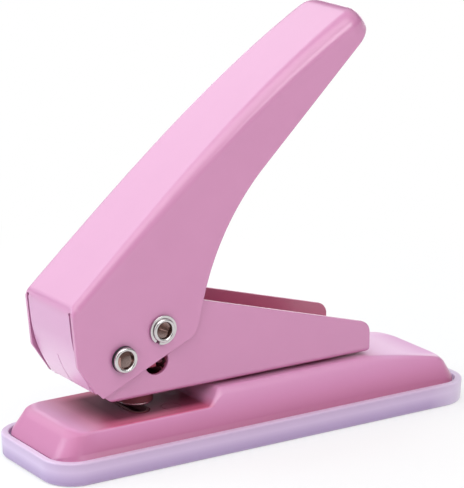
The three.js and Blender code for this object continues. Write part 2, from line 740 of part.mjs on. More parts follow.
// Point on the arc from a to b that bulges by rise at its middle
function bulge(a, b, rise, share) {
  const chord = Math.hypot(b[0] - a[0], b[1] - a[1]);
  const radius = (chord * chord / 4 + rise * rise) / (2 * rise);
  const half = Math.asin(chord / 2 / radius);
  const angle = half * (2 * share - 1);
  const along = (Math.sin(angle) * radius + chord / 2) / chord;
  const lift = radius * (Math.cos(angle) - Math.cos(half));
  const normal = [-(b[1] - a[1]) / chord, (b[0] - a[0]) / chord];
  const base = between(a, b, along);
  return [base[0] + normal[0] * lift, base[1] + normal[1] * lift];
}

// Point on the web's profile, which bows from its chord at one slope and comes back at a steeper one
function webAt(share) {
  const chord = [tip[0] - nose[0], tip[1] - nose[1]];
  const rise = webNoseSlope * share * (1 - share) ** 2 + webTipSlope * share ** 2 * (1 - share);
  const base = between(nose, tip, share);
  return [base[0] - chord[1] * rise, base[1] + chord[0] * rise];
}

const webShares = { start: 0.05, tangent: 0.1, heelStart: 0.15, heelEnd: 0.2, knee: 0.3, elbow: 0.6, last: 0.9 };
const webLength = Math.hypot(tipBehind + noseForward, tipRise - noseRise);
const kinkRound = fillet(flapEnd, kink, nose, kinkRadius, bendSteps);
const noseRound = fillet(kink, nose, webAt(webShares.tangent), noseRadius, bendSteps);
const heelRound = fillet(lowCorner, heel, knee, heelRadius, bendSteps);
const elbowChord = Math.hypot(elbowBehind - kneeBehind, elbowRise - kneeRise);
const elbowCrown = elbowRadius - Math.sqrt(elbowRadius ** 2 - elbowChord ** 2 / 4);
const endLean = Math.atan2(tip[1] - webAt(webShares.last)[1], tip[0] - webAt(webShares.last)[0]);
const tailEnd = [tip[0] + tipDepth * Math.sin(endLean), tip[1] - tipDepth * Math.cos(endLean)];

// Sections of the lever: a top point and the bottom point that faces it
const lowShares = { kinkStart: 0.2, kinkEnd: 0.3, noseStart: 0.6, noseEnd: 0.7, tail: 0.88 };

function leverSections() {
  const tipShare = tipCorner / webLength;
  const span = (from, to, t) => from + (to - from) * t;
  const web = (from, to) => (t) => webAt(span(from, to, t));
  const lowEdge = (from, to) => (t) => between(lowCorner, heelRound[0], span(from, to, t));
  const tail = (from, to) => (t) => between(elbow, tailEnd, span(from, to, t));
  const eased = (run) => (t) => run(Math.sin(t * Math.PI / 2));
  const pointOf = (round) => (t) => round[Math.round((round.length - 1) * t)];
  const runs = [
    { count: 2, top: (t) => between(flapEnd, kinkRound[0], t), low: lowEdge(0, lowShares.kinkStart) },
    { count: bendSteps, top: pointOf(kinkRound), low: lowEdge(lowShares.kinkStart, lowShares.kinkEnd) },
    { count: 2, top: (t) => between(kinkRound[kinkRound.length - 1], noseRound[0], t),
      low: lowEdge(lowShares.kinkEnd, lowShares.noseStart) },
    { count: bendSteps, top: pointOf(noseRound), low: lowEdge(lowShares.noseStart, lowShares.noseEnd) },
    { count: 2, onWeb: true, top: web(webShares.start, webShares.heelStart), low: lowEdge(lowShares.noseEnd, 1) },
    { count: bendSteps, onWeb: true, top: web(webShares.heelStart, webShares.heelEnd), low: pointOf(heelRound) },
    { count: 2, onWeb: true, top: web(webShares.heelEnd, webShares.knee),
      low: (t) => between(heelRound[heelRound.length - 1], knee, t) },
    { count: 6, onWeb: true, top: web(webShares.knee, webShares.elbow),
      low: (t) => bulge(knee, elbow, elbowCrown, t) },
    { count: 4, onWeb: true, top: web(webShares.elbow, 1 - tipShare), low: tail(0, lowShares.tail) },
    { count: 6, onWeb: true, end: true, top: eased(web(1 - tipShare, 1)), low: eased(tail(lowShares.tail, 1)) },
  ];
  const sections = [];
  runs.forEach((run, k) => {
    for (let i = k === 0 ? 0 : 1; i <= run.count; i += 1) {
      const share = i / run.count;
      const turnIn = run.end ? share * Math.PI / 2 : 0;
      sections.push({
        top: run.top(share), low: run.low(share), onWeb: run.onWeb === true,
        narrowing: tipCorner * (1 - Math.cos(turnIn)),
        toEnd: run.end ? tipCorner * (1 - Math.sin(turnIn)) : Infinity,
      });
    }
  });
  return sections;
}

function inwardNormal(sections, i) {
  const before = sections[Math.max(i - 1, 0)].top;
  const after = sections[Math.min(i + 1, sections.length - 1)].top;
  const run = Math.hypot(after[0] - before[0], after[1] - before[1]);
  return [(after[1] - before[1]) / run, -(after[0] - before[0]) / run];
}

// The lever's outer skin, or the hollow inside it when a thickness is given
function leverSolid(thickness) {
  const sections = leverSections();
  const drop = thickness > 0 ? cutOverrun : 0;
  const rings = sections.map((section, i) => {
    const [normalY, normalZ] = inwardNormal(sections, i);
    const webShare = i / sections.length;
    const edge = section.onWeb ? webEdgeRadius + (tipEdgeRadius - webEdgeRadius) * webShare : noseEdgeRadius;
    const half = leverHalf - section.narrowing - thickness;
    const nearEnd = Math.max(tipEdge - section.toEnd, 0);
    const roundDrop = tipEdge - Math.sqrt(tipEdge ** 2 - nearEnd ** 2);
    const room = tipDepth - roundDrop - tipLand;
    const radius = Math.max(Math.min(edge, room) - thickness, noseEdgeRadius);
    const at = (x, depth) => [x, section.top[0] + normalY * (depth + thickness + roundDrop),
      section.top[1] + normalZ * (depth + thickness + roundDrop)];
    const down = [section.low[0] - section.top[0], section.low[1] - section.top[1]];
    const length = Math.hypot(...down);
    const foot = (x) => [x, section.low[0] + down[0] / length * drop, section.low[1] + down[1] / length * drop];
    const right = arc(half - radius, radius, radius, 0, -Math.PI / 2, bendSteps).map(([x, depth]) => at(x, depth));
    const left = arc(radius - half, radius, radius, -Math.PI / 2, -Math.PI, bendSteps).map(([x, depth]) => at(x, depth));
    return [foot(half), ...right, ...left, foot(-half)].reverse();
  });
  if (thickness > 0) {
    const back = [flapEnd[0] - kink[0], flapEnd[1] - kink[1]];
    const length = Math.hypot(...back);
    const first = rings[0].map(([x, y, z]) =>
      [x, y + back[0] / length * cutOverrun, z + back[1] / length * cutOverrun]);
    const keep = rings.slice(0, -2);
    return loft([first, ...keep]);
  }
  return loft(rings);
}

function makeLever() {
  const shell = leverSolid(0).subtract(leverSolid(leverSheet));
  const reach = leverHalf + cutOverrun;
  const pivotHoles = alongX(circle(pivotY, pivotZ, pivotRadius + fitGap), -reach, reach);
  const driveHoles = alongX(circle(driveY, driveZ, driveRadius + fitGap), -reach, reach);
  const slitFoot = lowCorner[1] - cutOverrun;
  const slitTop = noseRound[0][1];
  const slitBack = flapEnd[0] + cutOverrun;
  const slitFront = nose[0] - cutOverrun;
  const slitMiddle = (slitFront + slitBack) / 2;
  const band = (x, top) => {
    const box = new THREE.BoxGeometry(slitWidth, slitBack - slitFront, top - slitFoot);
    return solid(box.translate(x, slitMiddle, (top + slitFoot) / 2));
  };
  const slitX = leverInner - slitWidth / 2;
  const slits = [band(slitX, slitTop), band(-slitX, slitTop), band(0, kink[1] - kinkRadius)];
  const reliefs = [slitX, -slitX].map((x) => alongY(circle(x, slitTop, reliefRadius), slitFront, slitBack));
  return without(shell, [pivotHoles, driveHoles, ...slits, ...reliefs]);
}

const object = new THREE.Group();
object.name = 'slot_punch';
const carried = (pieces) => {
  const group = new THREE.Group();
  pieces.forEach((piece) => group.add(piece));
  object.add(group);
};

carried([part('chip_tray', makeTray(), trayPlastic)]);
carried([
  part('base_shell', makeBase(), pinkPaint),
  part('die_plate', makeDie(), steel),
  part('die_rivet_right', makeDieRivet(dieRivetX), pinkPaint),
  part('die_rivet_left', makeDieRivet(-dieRivetX), pinkPaint),
  part('bracket', makeBracket(), pinkPaint),
  part('bracket_rivet_front', makeBracketRivet(rivetFrontY), nickel),
  part('bracket_rivet_rear', makeBracketRivet(rivetRearY), nickel),
  part('punch_guide', makeGuide(), darkSteel),
  part('spring_seat', makeSeat(), steel),
  part('punch_spring', makeSpring(), steel),
  part('pivot_pin', makePivotPin(), nickel),
  part('pivot_spacer', makeRing(pivotRadius + fitGap, spacerRadius, fitGap - bracketInner, bracketInner - fitGap),
    darkSteel),
  part('pivot_washer_right', makeRing(pivotRadius + fitGap / 2, washerRadius,
    washerInner - fitGap / 2, washerInner + washerThickness - fitGap / 2), blackPlastic),
  part('pivot_washer_left', makeRing(pivotRadius + fitGap / 2, washerRadius,
    fitGap / 2 - washerInner - washerThickness, fitGap / 2 - washerInner), blackPlastic),
]);
carried([
  part('lever', makeLever(), pinkPaint),
  part('drive_pin', makeDrivePin(), nickel),
  part('drive_clip_right', makeClip(1), nickel),
  part('drive_clip_left', makeClip(-1), nickel),
]);
carried([
  part('punch_block', makeBlock(), darkSteel),
  part('punch_blade', makeBlade(), steel),
  part('blade_pin_right', makeBladePin(1), steel),
  part('blade_pin_left', makeBladePin(-1), steel),
]);

console.log(`lever turn ${leverTurn} degrees, punch travel ${punchTravel.toFixed(3)} mm, `
  + `coupling ${(punchTravel / turn).toFixed(4)} mm per radian`);

export default object;
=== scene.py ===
import json
import math

import bmesh
import bpy
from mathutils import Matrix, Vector


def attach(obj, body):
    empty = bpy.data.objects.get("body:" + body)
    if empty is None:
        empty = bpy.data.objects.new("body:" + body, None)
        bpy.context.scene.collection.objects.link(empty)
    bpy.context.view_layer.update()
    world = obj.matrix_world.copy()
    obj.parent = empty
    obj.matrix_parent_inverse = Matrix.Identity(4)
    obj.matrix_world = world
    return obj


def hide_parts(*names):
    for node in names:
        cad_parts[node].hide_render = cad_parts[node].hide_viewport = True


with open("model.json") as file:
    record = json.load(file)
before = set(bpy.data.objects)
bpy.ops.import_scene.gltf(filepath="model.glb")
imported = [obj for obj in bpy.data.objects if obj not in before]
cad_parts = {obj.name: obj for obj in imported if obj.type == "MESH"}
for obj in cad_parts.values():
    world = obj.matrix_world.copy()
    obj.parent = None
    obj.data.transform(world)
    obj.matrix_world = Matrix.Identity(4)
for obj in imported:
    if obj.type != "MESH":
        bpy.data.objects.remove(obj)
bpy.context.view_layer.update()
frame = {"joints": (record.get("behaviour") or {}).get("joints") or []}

# Lengths are in millimetres until a mesh is made. +Y is the handle side, +X the right-hand side.
MM = 0.001
QUARTER = math.pi / 2
FINE = 14          # steps in a quarter circle that shows
ROUND = 96         # steps round a turned piece
GAP = 0.3          # running clearance
OVERRUN = 3.0      # how far a cutter runs past the wall it cuts
HAIR = 0.001       # how far past a path's end a crossing still counts
MERGE = 0.002      # points closer than this are one point
SIDES = (("right", 1), ("left", -1))

# Tray
TRAY_LENGTH = 120.0
TRAY_WIDTH = 34.4
TRAY_CORNER = 8.2
TRAY_HEIGHT = 5.85
TRAY_FLOOR = 1.3
TRAY_RIM = 1.8
LEDGE_WIDTH = 1.5
LEDGE_TOP = 4.6

# Base
BASE_SHEET = 1.0
BASE_HALF_X = 15.05
BASE_HALF_Y = 57.85
BASE_CORNER = 6.05
FLANGE_TOP = 5.5
FLANGE_SHEET = 0.65    # the foot is pressed thinner where it lies in the tray's rim
FLANGE_INSET = 0.15
FOOT_RUN = 0.7         # the foot's flare: how far it runs inward, and how far up
FOOT_RISE = 1.3
FOOT_POWER = 1.3
FOOT_STEPS = 8
END_FLARE = 0.2        # the share of the flare that is left at the ends
SHOULDER_DEPTH = 1.5   # the shoulders are this much deeper than wide
LEAST_SHOULDER = 0.15
DECK_TOP = 11.5
RAISED_TOP = 15.2
STEP_FOOT = -16.8
STEP_RUN = 4.5
RAMP_START = 31.0
RAMP_END = 54.4
RAMP_DROP = 3.8
RAMP_POWER = 1.3
WALL_INSET = 1.9
WALL_LEAN = 0.5
DECK_SHOULDER = 0.8
RAISED_SHOULDER = 2.2
END_INSET = 1.6        # the ends have a rounder shoulder of their own
END_SHOULDER = 2.9
END_DEPTH = 4.2
FRONT_LEAN = 1.5       # how many times further in the ends' walls lie than the sides'
REAR_LEAN = 1.1
DECK_SEAM = 6.4        # a line of the deck's mesh that crosses the rivet holes

# Bracket
SHEET = 1.2
BRACKET_HALF = 10.0
BRACKET_BEND = 1.5
BRACKET_BOTTOM = 15.95
BRACKET_FRONT = -43.7
BRACKET_REAR = 32.3
FLOOR_TOP = BRACKET_BOTTOM + SHEET

# Mechanism
HINGE = next(joint for joint in frame["joints"] if joint["name"] == "lever_pivot")
PIVOT = tuple(round(place / MM, 3) for place in HINGE["pos_m"][1:])
DRIVE = (-28.7, 32.45)
TURN = math.radians(HINGE["range_deg"][1])
PIVOT_RADIUS = 2.6
DRIVE_RADIUS = 2.9
LEVER_HALF = 11.5
BLADE = (14.0, 3.0)    # length and width of an obround
BLADE_GAP = 0.25
BLADE_Y = -31.7
DIE_RIM = 0.7
COLLAR_NECK = (15.7, 6.4)
CROSS_PIN_X = 4.0
CROSS_PIN_Z = 25.45
SPRING_Y = -24.2
SLOT_TRAVEL = 1.2      # how far the drive pin slips along the block's slot
SPRING_BOSS = 1.7      # radius of the bosses inside the spring's ends
STUD_SHANK = 1.2
DIE_RIVET_X = 7.5
DIE_RIVET_Y = -24.0
DIE_RIVET_SHANK = 1.3
DIE_RIVET_HEAD = 2.22
RIVET_Y = {"front": 0.0, "rear": 22.0}
RIVET_SHANK = 2.0


def polar(angle):
    return Vector((math.cos(angle), math.sin(angle)))


def arc(centre, radius, start, end, steps):
    """Points on a circle from one angle to another, ends included."""
    middle = Vector(centre)
    return [middle + radius * polar(start + (end - start) * i / steps) for i in range(steps + 1)]


def fillet(before, corner, after, radius, steps=FINE):
    """The round that replaces a corner of a path."""
    before, corner, after = Vector(before), Vector(corner), Vector(after)
    to_before = (before - corner).normalized()
    to_after = (after - corner).normalized()
    half = math.acos(max(-1.0, min(1.0, to_before.dot(to_after)))) / 2
    centre = corner + (to_before + to_after).normalized() * radius / math.sin(half)
    start = corner + to_before * radius / math.tan(half) - centre
    end = corner + to_after * radius / math.tan(half) - centre
    first = math.atan2(start.y, start.x)
    sweep = math.atan2(start.x * end.y - start.y * end.x, start.dot(end))
    return arc(centre, radius, first, first + sweep, steps)


def rounded(corners, steps=FINE):
    """A closed outline from corners of (u, v, radius)."""
    points = []
    for i, (u, v, radius) in enumerate(corners):
        if radius:
            points += fillet(corners[i - 1][:2], (u, v), corners[(i + 1) % len(corners)][:2], radius, steps)
        else:
            points.append(Vector((u, v)))
    return points


def rounded_box(half_x, half_y, radius):
    points = []
    for i, (sx, sy) in enumerate([(1, 1), (-1, 1), (-1, -1), (1, -1)]):
        centre = (sx * (half_x - radius), sy * (half_y - radius))
        points += arc(centre, radius, i * QUARTER, (i + 1) * QUARTER, FINE)
    return points


def grown(size, gap):
    """The length and width of an obround that is larger by a gap all round."""
    return size[0] + 2 * gap, size[1] + 2 * gap


def obround(length, width):
    """The outline of something as long as the blade is, round the blade's middle."""
    reach = (length - width) / 2
    right = arc((reach, BLADE_Y), width / 2, -QUARTER, QUARTER, 2 * FINE)
    left = arc((-reach, BLADE_Y), width / 2, QUARTER, 3 * QUARTER, 2 * FINE)
    return right + left


def circle(centre, radius, steps=ROUND):
    """A circle with no point straight above, below or beside its middle."""
    start = math.pi / steps
    return arc(centre, radius, start, start + 2 * math.pi, steps)[:-1]


def meet(start, direction, path):
    """Where a line from a point crosses a path."""
    start = Vector(start)
    for a, b in zip(path, path[1:]):
        run = b - a
        cross = direction.x * run.y - direction.y * run.x
        if abs(cross) > 1e-9:
            reach = ((a - start).x * run.y - (a - start).y * run.x) / cross
            share = ((a - start).x * direction.y - (a - start).y * direction.x) / cross
            if reach > 0 and -HAIR <= share <= 1 + HAIR:
                return a + run * share
    raise ValueError("the line misses the path")


def smooth(x, low, high):
    t = max(0.0, min(1.0, (x - low) / (high - low)))
    return t * t * (3 - 2 * t)


def along_x(p, x):
    return Vector((x, p[0], p[1]))


def along_y(p, y):
    return Vector((p[0], y, p[1]))


def along_z(p, z):
    return Vector((p[0], p[1], z))


def round_x(centre):
    """Where a turned piece's points lie when its axis runs along X; round_z has one that stands up."""
    return lambda p, h: Vector((h, centre[0] + p.x, centre[1] + p.y))


def round_z(x, y):
    return lambda p, h: Vector((x + p.x, y + p.y, h))


class Skin:
    """Points in millimetres and the faces between them."""

    def __init__(self):
        self.points = []
        self.faces = []

    def add(self, points):
        first = len(self.points)
        self.points += [Vector(p) for p in points]
        return list(range(first, len(self.points)))

    def face(self, ids):
        self.faces.append(tuple(ids))

    def bridge(self, a, b):
        for i in range(len(a)):
            self.faces.append((a[i - 1], a[i], b[i], b[i - 1]))

    def rings(self, rings, chained=False):
        """A skin through rings of points: both ends are capped, or the last ring meets the first."""
        made = [self.add(ring) for ring in rings]
        for a, b in zip(made, made[1:]):
            self.bridge(a, b)
        if chained:
            self.bridge(made[-1], made[0])
        else:
            self.face(reversed(made[0]))
            self.face(made[-1])
        return made


class Sheet:
    """A sheet of metal: each point has a place on the outer face and one on the inner face."""

    def __init__(self):
        self.outer = []
        self.inner = []
        self.known = {}
        self.faces = []

    def add(self, outer, inner):
        key = tuple(round(c, 4) for c in (*outer, *inner))
        if key not in self.known:
            self.known[key] = len(self.outer)
            self.outer.append(Vector(outer))
            self.inner.append(Vector(inner))
        return self.known[key]

    def face(self, ids):
        kept = [p for i, p in enumerate(ids) if p != ids[i - 1]]
        if len(kept) > 2:
            self.faces.append(tuple(kept))

    def bridge(self, a, b):
        for i in range(len(a) - 1):
            self.face((a[i], a[i + 1], b[i + 1], b[i]))

    def strips(self, lines, side=1):
        """Faces between neighbouring lines of points, turned over on the left side."""
        for a, b in zip(lines, lines[1:]):
            self.bridge(a[::side], b[::side])

    def skin(self):
        """Both faces of the sheet and the edge that closes it."""
        made = Skin()
        made.add(self.outer)
        made.add(self.inner)
        count = len(self.outer)
        sides = {(f[i - 1], f[i]) for f in self.faces for i in range(len(f))}
        made.faces = [tuple(f) for f in self.faces]
        made.faces += [tuple(p + count for p in reversed(f)) for f in self.faces]
        made.faces += [(b, a, a + count, b + count) for a, b in sides if (b, a) not in sides]
        return made


def link(obj):
    bpy.context.scene.collection.objects.link(obj)
    return obj


def new_object(name, skin):
    mesh = bpy.data.meshes.new(name)
    mesh.from_pydata([p * MM for p in skin.points], [], skin.faces)
    work = bmesh.new()
    work.from_mesh(mesh)
    bmesh.ops.remove_doubles(work, verts=work.verts, dist=MERGE * MM)
    bmesh.ops.dissolve_degenerate(work, edges=work.edges, dist=HAIR * MM)
    bmesh.ops.recalc_face_normals(work, faces=work.faces)
    work.to_mesh(mesh)
    work.free()
    return link(bpy.data.objects.new(name, mesh))


ROUNDED_FROM = math.radians(42)
SHARP_FROM = math.radians(38)
AREA_WEIGHT = 90       # out of 100: large faces keep their own direction


def bake(obj):
    """Turns an object's modifiers into its mesh."""
    graph = bpy.context.evaluated_depsgraph_get()
    mesh = bpy.data.meshes.new_from_object(obj.evaluated_get(graph))
    obj.modifiers.clear()
    obj.data = mesh
    mesh.name = obj.name


def prism(outline, place, low, high):
    skin = Skin()
    skin.rings([[place(p, low) for p in outline], [place(p, high) for p in outline]])
    return skin


def split(obj, lines):
    """Splits faces along planes, so that an opening's outline meets their edges squarely."""
    work = bmesh.new()
    work.from_mesh(obj.data)
    for axis, place in lines:
        point, normal = Vector((0, 0, 0)), Vector((0, 0, 0))
        point["xyz".index(axis)] = place * MM
        normal["xyz".index(axis)] = 1
        bmesh.ops.bisect_plane(work, geom=work.verts[:] + work.edges[:] + work.faces[:], dist=HAIR * MM,
                               plane_co=point, plane_no=normal)
    work.to_mesh(obj.data)
    work.free()


def cut(obj, cutters):
    for skin in cutters:
        tool = new_object("cutter", skin)
        step = obj.modifiers.new("cut", "BOOLEAN")
        step.operation = "DIFFERENCE"
        step.solver = "MANIFOLD"
        step.object = tool
        bake(obj)
        bpy.data.objects.remove(tool)


def soften(obj, width, steps):
    """Rounds the edges that are sharp enough."""
    if width:
        edge = obj.modifiers.new("edge", "BEVEL")
        edge.width = width * MM
        edge.segments = steps
        edge.limit_method = "ANGLE"
        edge.angle_limit = ROUNDED_FROM
        edge.use_clamp_overlap = False
        bake(obj)


def shade(obj):
    """Shades smooth, except across edges that are still sharp."""
    work = bmesh.new()
    work.from_mesh(obj.data)
    for face in work.faces:
        face.smooth = True
    for edge in work.edges:
        edge.smooth = edge.calc_face_angle(0) < SHARP_FROM
    work.to_mesh(obj.data)
    work.free()
    weight = obj.modifiers.new("weight", "WEIGHTED_NORMAL")
    weight.weight = AREA_WEIGHT
    weight.keep_sharp = True
    bake(obj)


def piece(name, skin, body, nodes, material, width=0.0, cutters=(), steps=3, lines=(), slits=()):
    """Makes a piece: openings first, then its rounded edges, then slits too fine to round."""
    obj = new_object(name, skin)
    split(obj, lines)
    cut(obj, cutters)
    soften(obj, width, steps)
    cut(obj, slits)
    shade(obj)
    obj.data.materials.clear()
    obj.data.materials.append(material)
    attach(obj, body)
    if nodes:
        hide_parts(*nodes)
    return obj


def turned(profile, place, steps=ROUND, dimple=None):
    """A turned piece from a profile of (radius, height) that starts and ends on its axis.

    A dimple (first angle, slope) ends a bored end in a three-sided point instead of a cone.
    """
    skin = Skin()
    directions = [polar(2 * math.pi * i / steps) for i in range(steps)]
    middle = [p for p in profile if p[0] > 0]
    made = []
    for i, (radius, height) in enumerate(middle):
        rises = [0] * steps
        if dimple and i in (0, len(middle) - 1):
            facets = [polar(dimple[0] + 2 * math.pi * k / 3) for k in range(3)]
            slope = math.copysign(dimple[1], height)
            rises = [slope * radius * max(d.dot(facet) for facet in facets) for d in directions]
        made.append(skin.add([place(d * radius, height + rise) for d, rise in zip(directions, rises)]))
    for a, b in zip(made, made[1:]):
        skin.bridge(a, b)
    if profile[0][0] > 0:
        skin.bridge(made[-1], made[0])
        return skin
    for ring, end in ((made[0], profile[0]), (made[-1], profile[-1])):
        tip = skin.add([place(Vector((0, 0)), end[1])])[0]
        for i in range(steps):
            skin.face((ring[i], ring[(i + 1) % steps], tip))
    return skin


def stepped(*parts):
    """A turned profile of cylinders on one another: (radius, low, high, lower edge, upper edge)."""
    points = [(0, parts[0][1])]
    for radius, low, high, under, over in parts:
        points += [(radius - under, low), (radius, low + under)] if under else [(radius, low)]
        points += [(radius, high - over), (radius - over, high)] if over else [(radius, high)]
    return points + [(0, parts[-1][2])]


def eased(profile, radius):
    """The profile with its inner corners rounded, where they turn enough."""
    longest_share, least, straight, steps = 0.45, 0.01, 2.9, 4
    points = [Vector(profile[0])]
    for before, corner, after in zip(profile, profile[1:], profile[2:]):
        a, b, c = Vector(before), Vector(corner), Vector(after)
        reach = min(radius, longest_share * (a - b).length, longest_share * (c - b).length)
        angle = (a - b).angle(c - b)
        if reach < least or angle > straight:
            points.append(b)
        else:
            points += fillet(a, b, c, reach * math.tan(angle / 2), steps)
    return points + [Vector(profile[-1])]


# Materials


def srgb(red, green, blue):
    """A colour as paint charts and pictures give it, in the units that Blender mixes."""
    def linear(value):
        share = value / 255
        return share / 12.92 if share <= 0.04045 else ((share + 0.055) / 1.055) ** 2.4
    return (linear(red), linear(green), linear(blue), 1)


class Value:
    """A shader socket that can be used in sums and products."""

    def __init__(self, nodes, socket):
        self.nodes = nodes
        self.socket = socket

    def maths(self, operation, a, b):
        return self.nodes.add("ShaderNodeMath", {"operation": operation}, {0: a, 1: b})

    def __add__(self, other):
        return self.maths("ADD", self, other)

    def __sub__(self, other):
        return self.maths("SUBTRACT", self, other)

    def __rsub__(self, other):
        return self.maths("SUBTRACT", other, self)

    def __mul__(self, other):
        return self.maths("MULTIPLY", self, other)

    __radd__ = __add__
    __rmul__ = __mul__


class Nodes:
    """Makes the nodes of one tree."""

    def __init__(self, tree):
        self.tree = tree

    def add(self, kind, settings, inputs, output=0):
        node = self.tree.nodes.new(kind)
        for key, value in settings.items():
            if key == "stops":
                ramp = node.color_ramp.elements
                while len(ramp) < len(value):
                    ramp.new(1.0)
                for element, (place, colour) in zip(ramp, value):
                    element.position = place
                    element.color = colour
            else:
                setattr(node, key, value)
        for key, value in inputs.items():
            self.put(node.inputs[key], value)
        return Value(self, node.outputs[output])

    def put(self, socket, value):
        if isinstance(value, Value):
            self.tree.links.new(value.socket, socket)
        else:
            socket.default_value = value

    def between(self, value, low, high, start=0.0, end=1.0, kind="SMOOTHSTEP"):
        """Start up to one value, end from another on."""
        return self.add("ShaderNodeMapRange", {"interpolation_type": kind},
                        {"Value": value, "From Min": low, "From Max": high, "To Min": start, "To Max": end})

    def mix_shaders(self, share, a, b):
        return self.add("ShaderNodeMixShader", {}, {0: share, 1: a, 2: b})

    def finish(self, output, surface):
        self.put(self.tree.nodes[output].inputs["Surface"], surface)


class Paint(Nodes):
    """Makes one material's nodes."""

    def __init__(self, name, slot_colour):
        self.material = bpy.data.materials.new(name)
        self.material.use_nodes = True
        self.material.diffuse_color = slot_colour
        super().__init__(self.material.node_tree)
        self.shader = self.tree.nodes["Principled BSDF"]

    def set(self, **values):
        for key, value in values.items():
            self.put(self.shader.inputs[key.replace("_", " ")], value)

    def place(self):
        return self.add("ShaderNodeTexCoord", {}, {}, "Object")

    def noise(self, scale, detail, stretch=(1, 1, 1)):
        spread = self.add("ShaderNodeMapping", {}, {"Vector": self.place(), "Scale": stretch})
        return self.add("ShaderNodeTexNoise", {}, {"Vector": spread, "Scale": scale, "Detail": detail})

    def mix(self, share, a, b):
        """A colour between a and b."""
        return self.add("ShaderNodeMix", {"data_type": "RGBA"}, {0: share, 6: a, 7: b}, 2)

    def axes(self):
        """The three coordinates of a place on the piece."""
        place = self.place()
        return [self.add("ShaderNodeSeparateXYZ", {}, {"Vector": place}, axis) for axis in "XYZ"]

    def rise(self, value, low, high):
        """0 up to one place in millimetres and 1 from another on."""
        return self.between(value, low * MM, high * MM, kind="LINEAR")

    def bands(self, share, stops):
        """A colour that changes from stop to stop."""
        return self.add("ShaderNodeValToRGB", {"stops": stops}, {"Fac": share})

    def bump(self, height, depth):
        return self.add("ShaderNodeBump", {}, {"Height": height, "Distance": depth * MM})


PINK = srgb(202, 132, 174)
PINK_CLOUD = srgb(197, 126, 169)
# Painted reflection on the lever's folded front: paler high up, milkier low down.
FLAP_SHEEN_LOW = srgb(225, 172, 208)
FLAP_SHEEN_HIGH = srgb(203, 140, 183)
# Painted shade on the channel's inner faces.
INSIDE_SHADE_PINK = srgb(190, 92, 126)
BASE_PINK = srgb(192, 113, 155)
# Painted shade and light on the base's walls: darker towards the foot, lighter higher up.
BASE_SHADE_BANDS = ((0.3, srgb(181, 101, 139)), (0.55, srgb(196, 122, 162)), (0.7, srgb(205, 134, 176)),
              (0.88, srgb(213, 147, 188)), (1.0, srgb(214, 150, 190)))
# Painted shade on the base's front end.
SHADED_BASE_END = srgb(197, 123, 163)
# Painted reflection on the rear ramp: paler.
SHEEN_RAMP_PINK = srgb(220, 168, 208)
# The low deck: painted shade near the bracket, painted light towards its front.
DECK_SHADE_PINK = srgb(200, 92, 128)
DECK_LIT_PINK = srgb(211, 150, 186)
DECK_SHADED = srgb(112, 48, 70)
# Painted light and shade on the tray by height: darker low down, lighter higher up, brightest at the rim's
# top.
TRAY_LIGHT_AND_SHADE = ((0.0, srgb(190, 166, 205)), (0.16, srgb(173, 147, 191)), (0.34, srgb(189, 163, 205)),
              (0.62, srgb(218, 195, 228)), (0.9, srgb(208, 182, 217)), (1.0, srgb(224, 198, 226)))
# Painted light on the tray's rear end.
LIT_TRAY_BACK = srgb(232, 216, 240)

# Noise scales, in waves per metre
CLOUD_SCALE = 90
SMEAR_SCALE = 250
PEEL_SCALE = 700
FROST_SCALE = 1800
GRAIN_SCALE = 2500
COAT = 0.9
COAT_IOR = 1.6
SMEAR_SHADE = 0.82     # the darker of a metal's two shades, as a share of the lighter

# Where a colour starts to change and where it has changed: in mm, or across in square mm
# Where the painted reflection on the lever's folded front starts and where it is full.
FLAP_SHEEN_FADE = (33, 23)
FLAP_SHEEN_ACROSS = (104, 97)
FLAP_SHEEN_HEIGHT = (40.5, 38)
# Where the painted shade on the channel's inner faces starts and where it is full.
INSIDE_SHADE_ACROSS = (95, 80)
DECK_SKIN = (DECK_TOP - 0.35, DECK_TOP - 0.1)
DECK_END = (STEP_FOOT + 2, STEP_FOOT)
# Where the low deck's painted shade gives way to its lit front.
DECK_SHADE_FADE = (-42, -50)
SHADE_ACROSS = (125, 70)
SHADE_ALONG = (-46, -39)
SHADE_HEIGHT = (13.5, 12)
# Where the front end's painted shade starts and where it is full.
FRONT_SHADE_SPAN = (-47, -52)
# Where the rear ramp's painted reflection starts and where it is full.
RAMP_SHEEN_WIDTH = (150, 115)
RAMP_SHEEN_SPAN = (RAMP_START, RAMP_START + 6)
# Where the tray's painted lighter rear end starts and where it is full.
LIT_BACK_SPAN = (46, 57)


def squared(value):
    """The square of a place across, so that both sides look the same; rise() takes it in square mm."""
    return value * value * (1 / MM)


def gloss_paint(name, shade):
    """Pink paint; shade paints light and shade into its plain colour from place to place."""
    made = Paint(name, PINK)
    cloud = made.noise(CLOUD_SCALE, 2)
    peel = made.noise(PEEL_SCALE, 2)
    x, _, z = made.axes()
    made.set(
        Base_Color=shade(made, made.mix(cloud, PINK_CLOUD, PINK), squared(x), z),
        Roughness=cloud * 0.06 + peel * 0.05 + 0.3,
        Normal=made.bump(peel, 0.006),
        Coat_Roughness=0.27,
        Specular_IOR_Level=0.5,
        Coat_Weight=COAT,
        Coat_IOR=COAT_IOR,
    )
    return made.material


def painted_flap_sheen(made, plain, across, z):
    """Painted reflection: the lever's folded front is milkier, most of all low down."""
    milk = made.mix(made.rise(z, *FLAP_SHEEN_FADE), FLAP_SHEEN_HIGH, FLAP_SHEEN_LOW)
    flap = made.rise(across, *FLAP_SHEEN_ACROSS) * made.rise(z, *FLAP_SHEEN_HEIGHT)
    return made.mix(flap, plain, milk)


def painted_inside_shade(made, plain, across, _):
    """Painted shade: the channel's inner faces are deeper in colour."""
    return made.mix(made.rise(across, *INSIDE_SHADE_ACROSS), plain, INSIDE_SHADE_PINK)


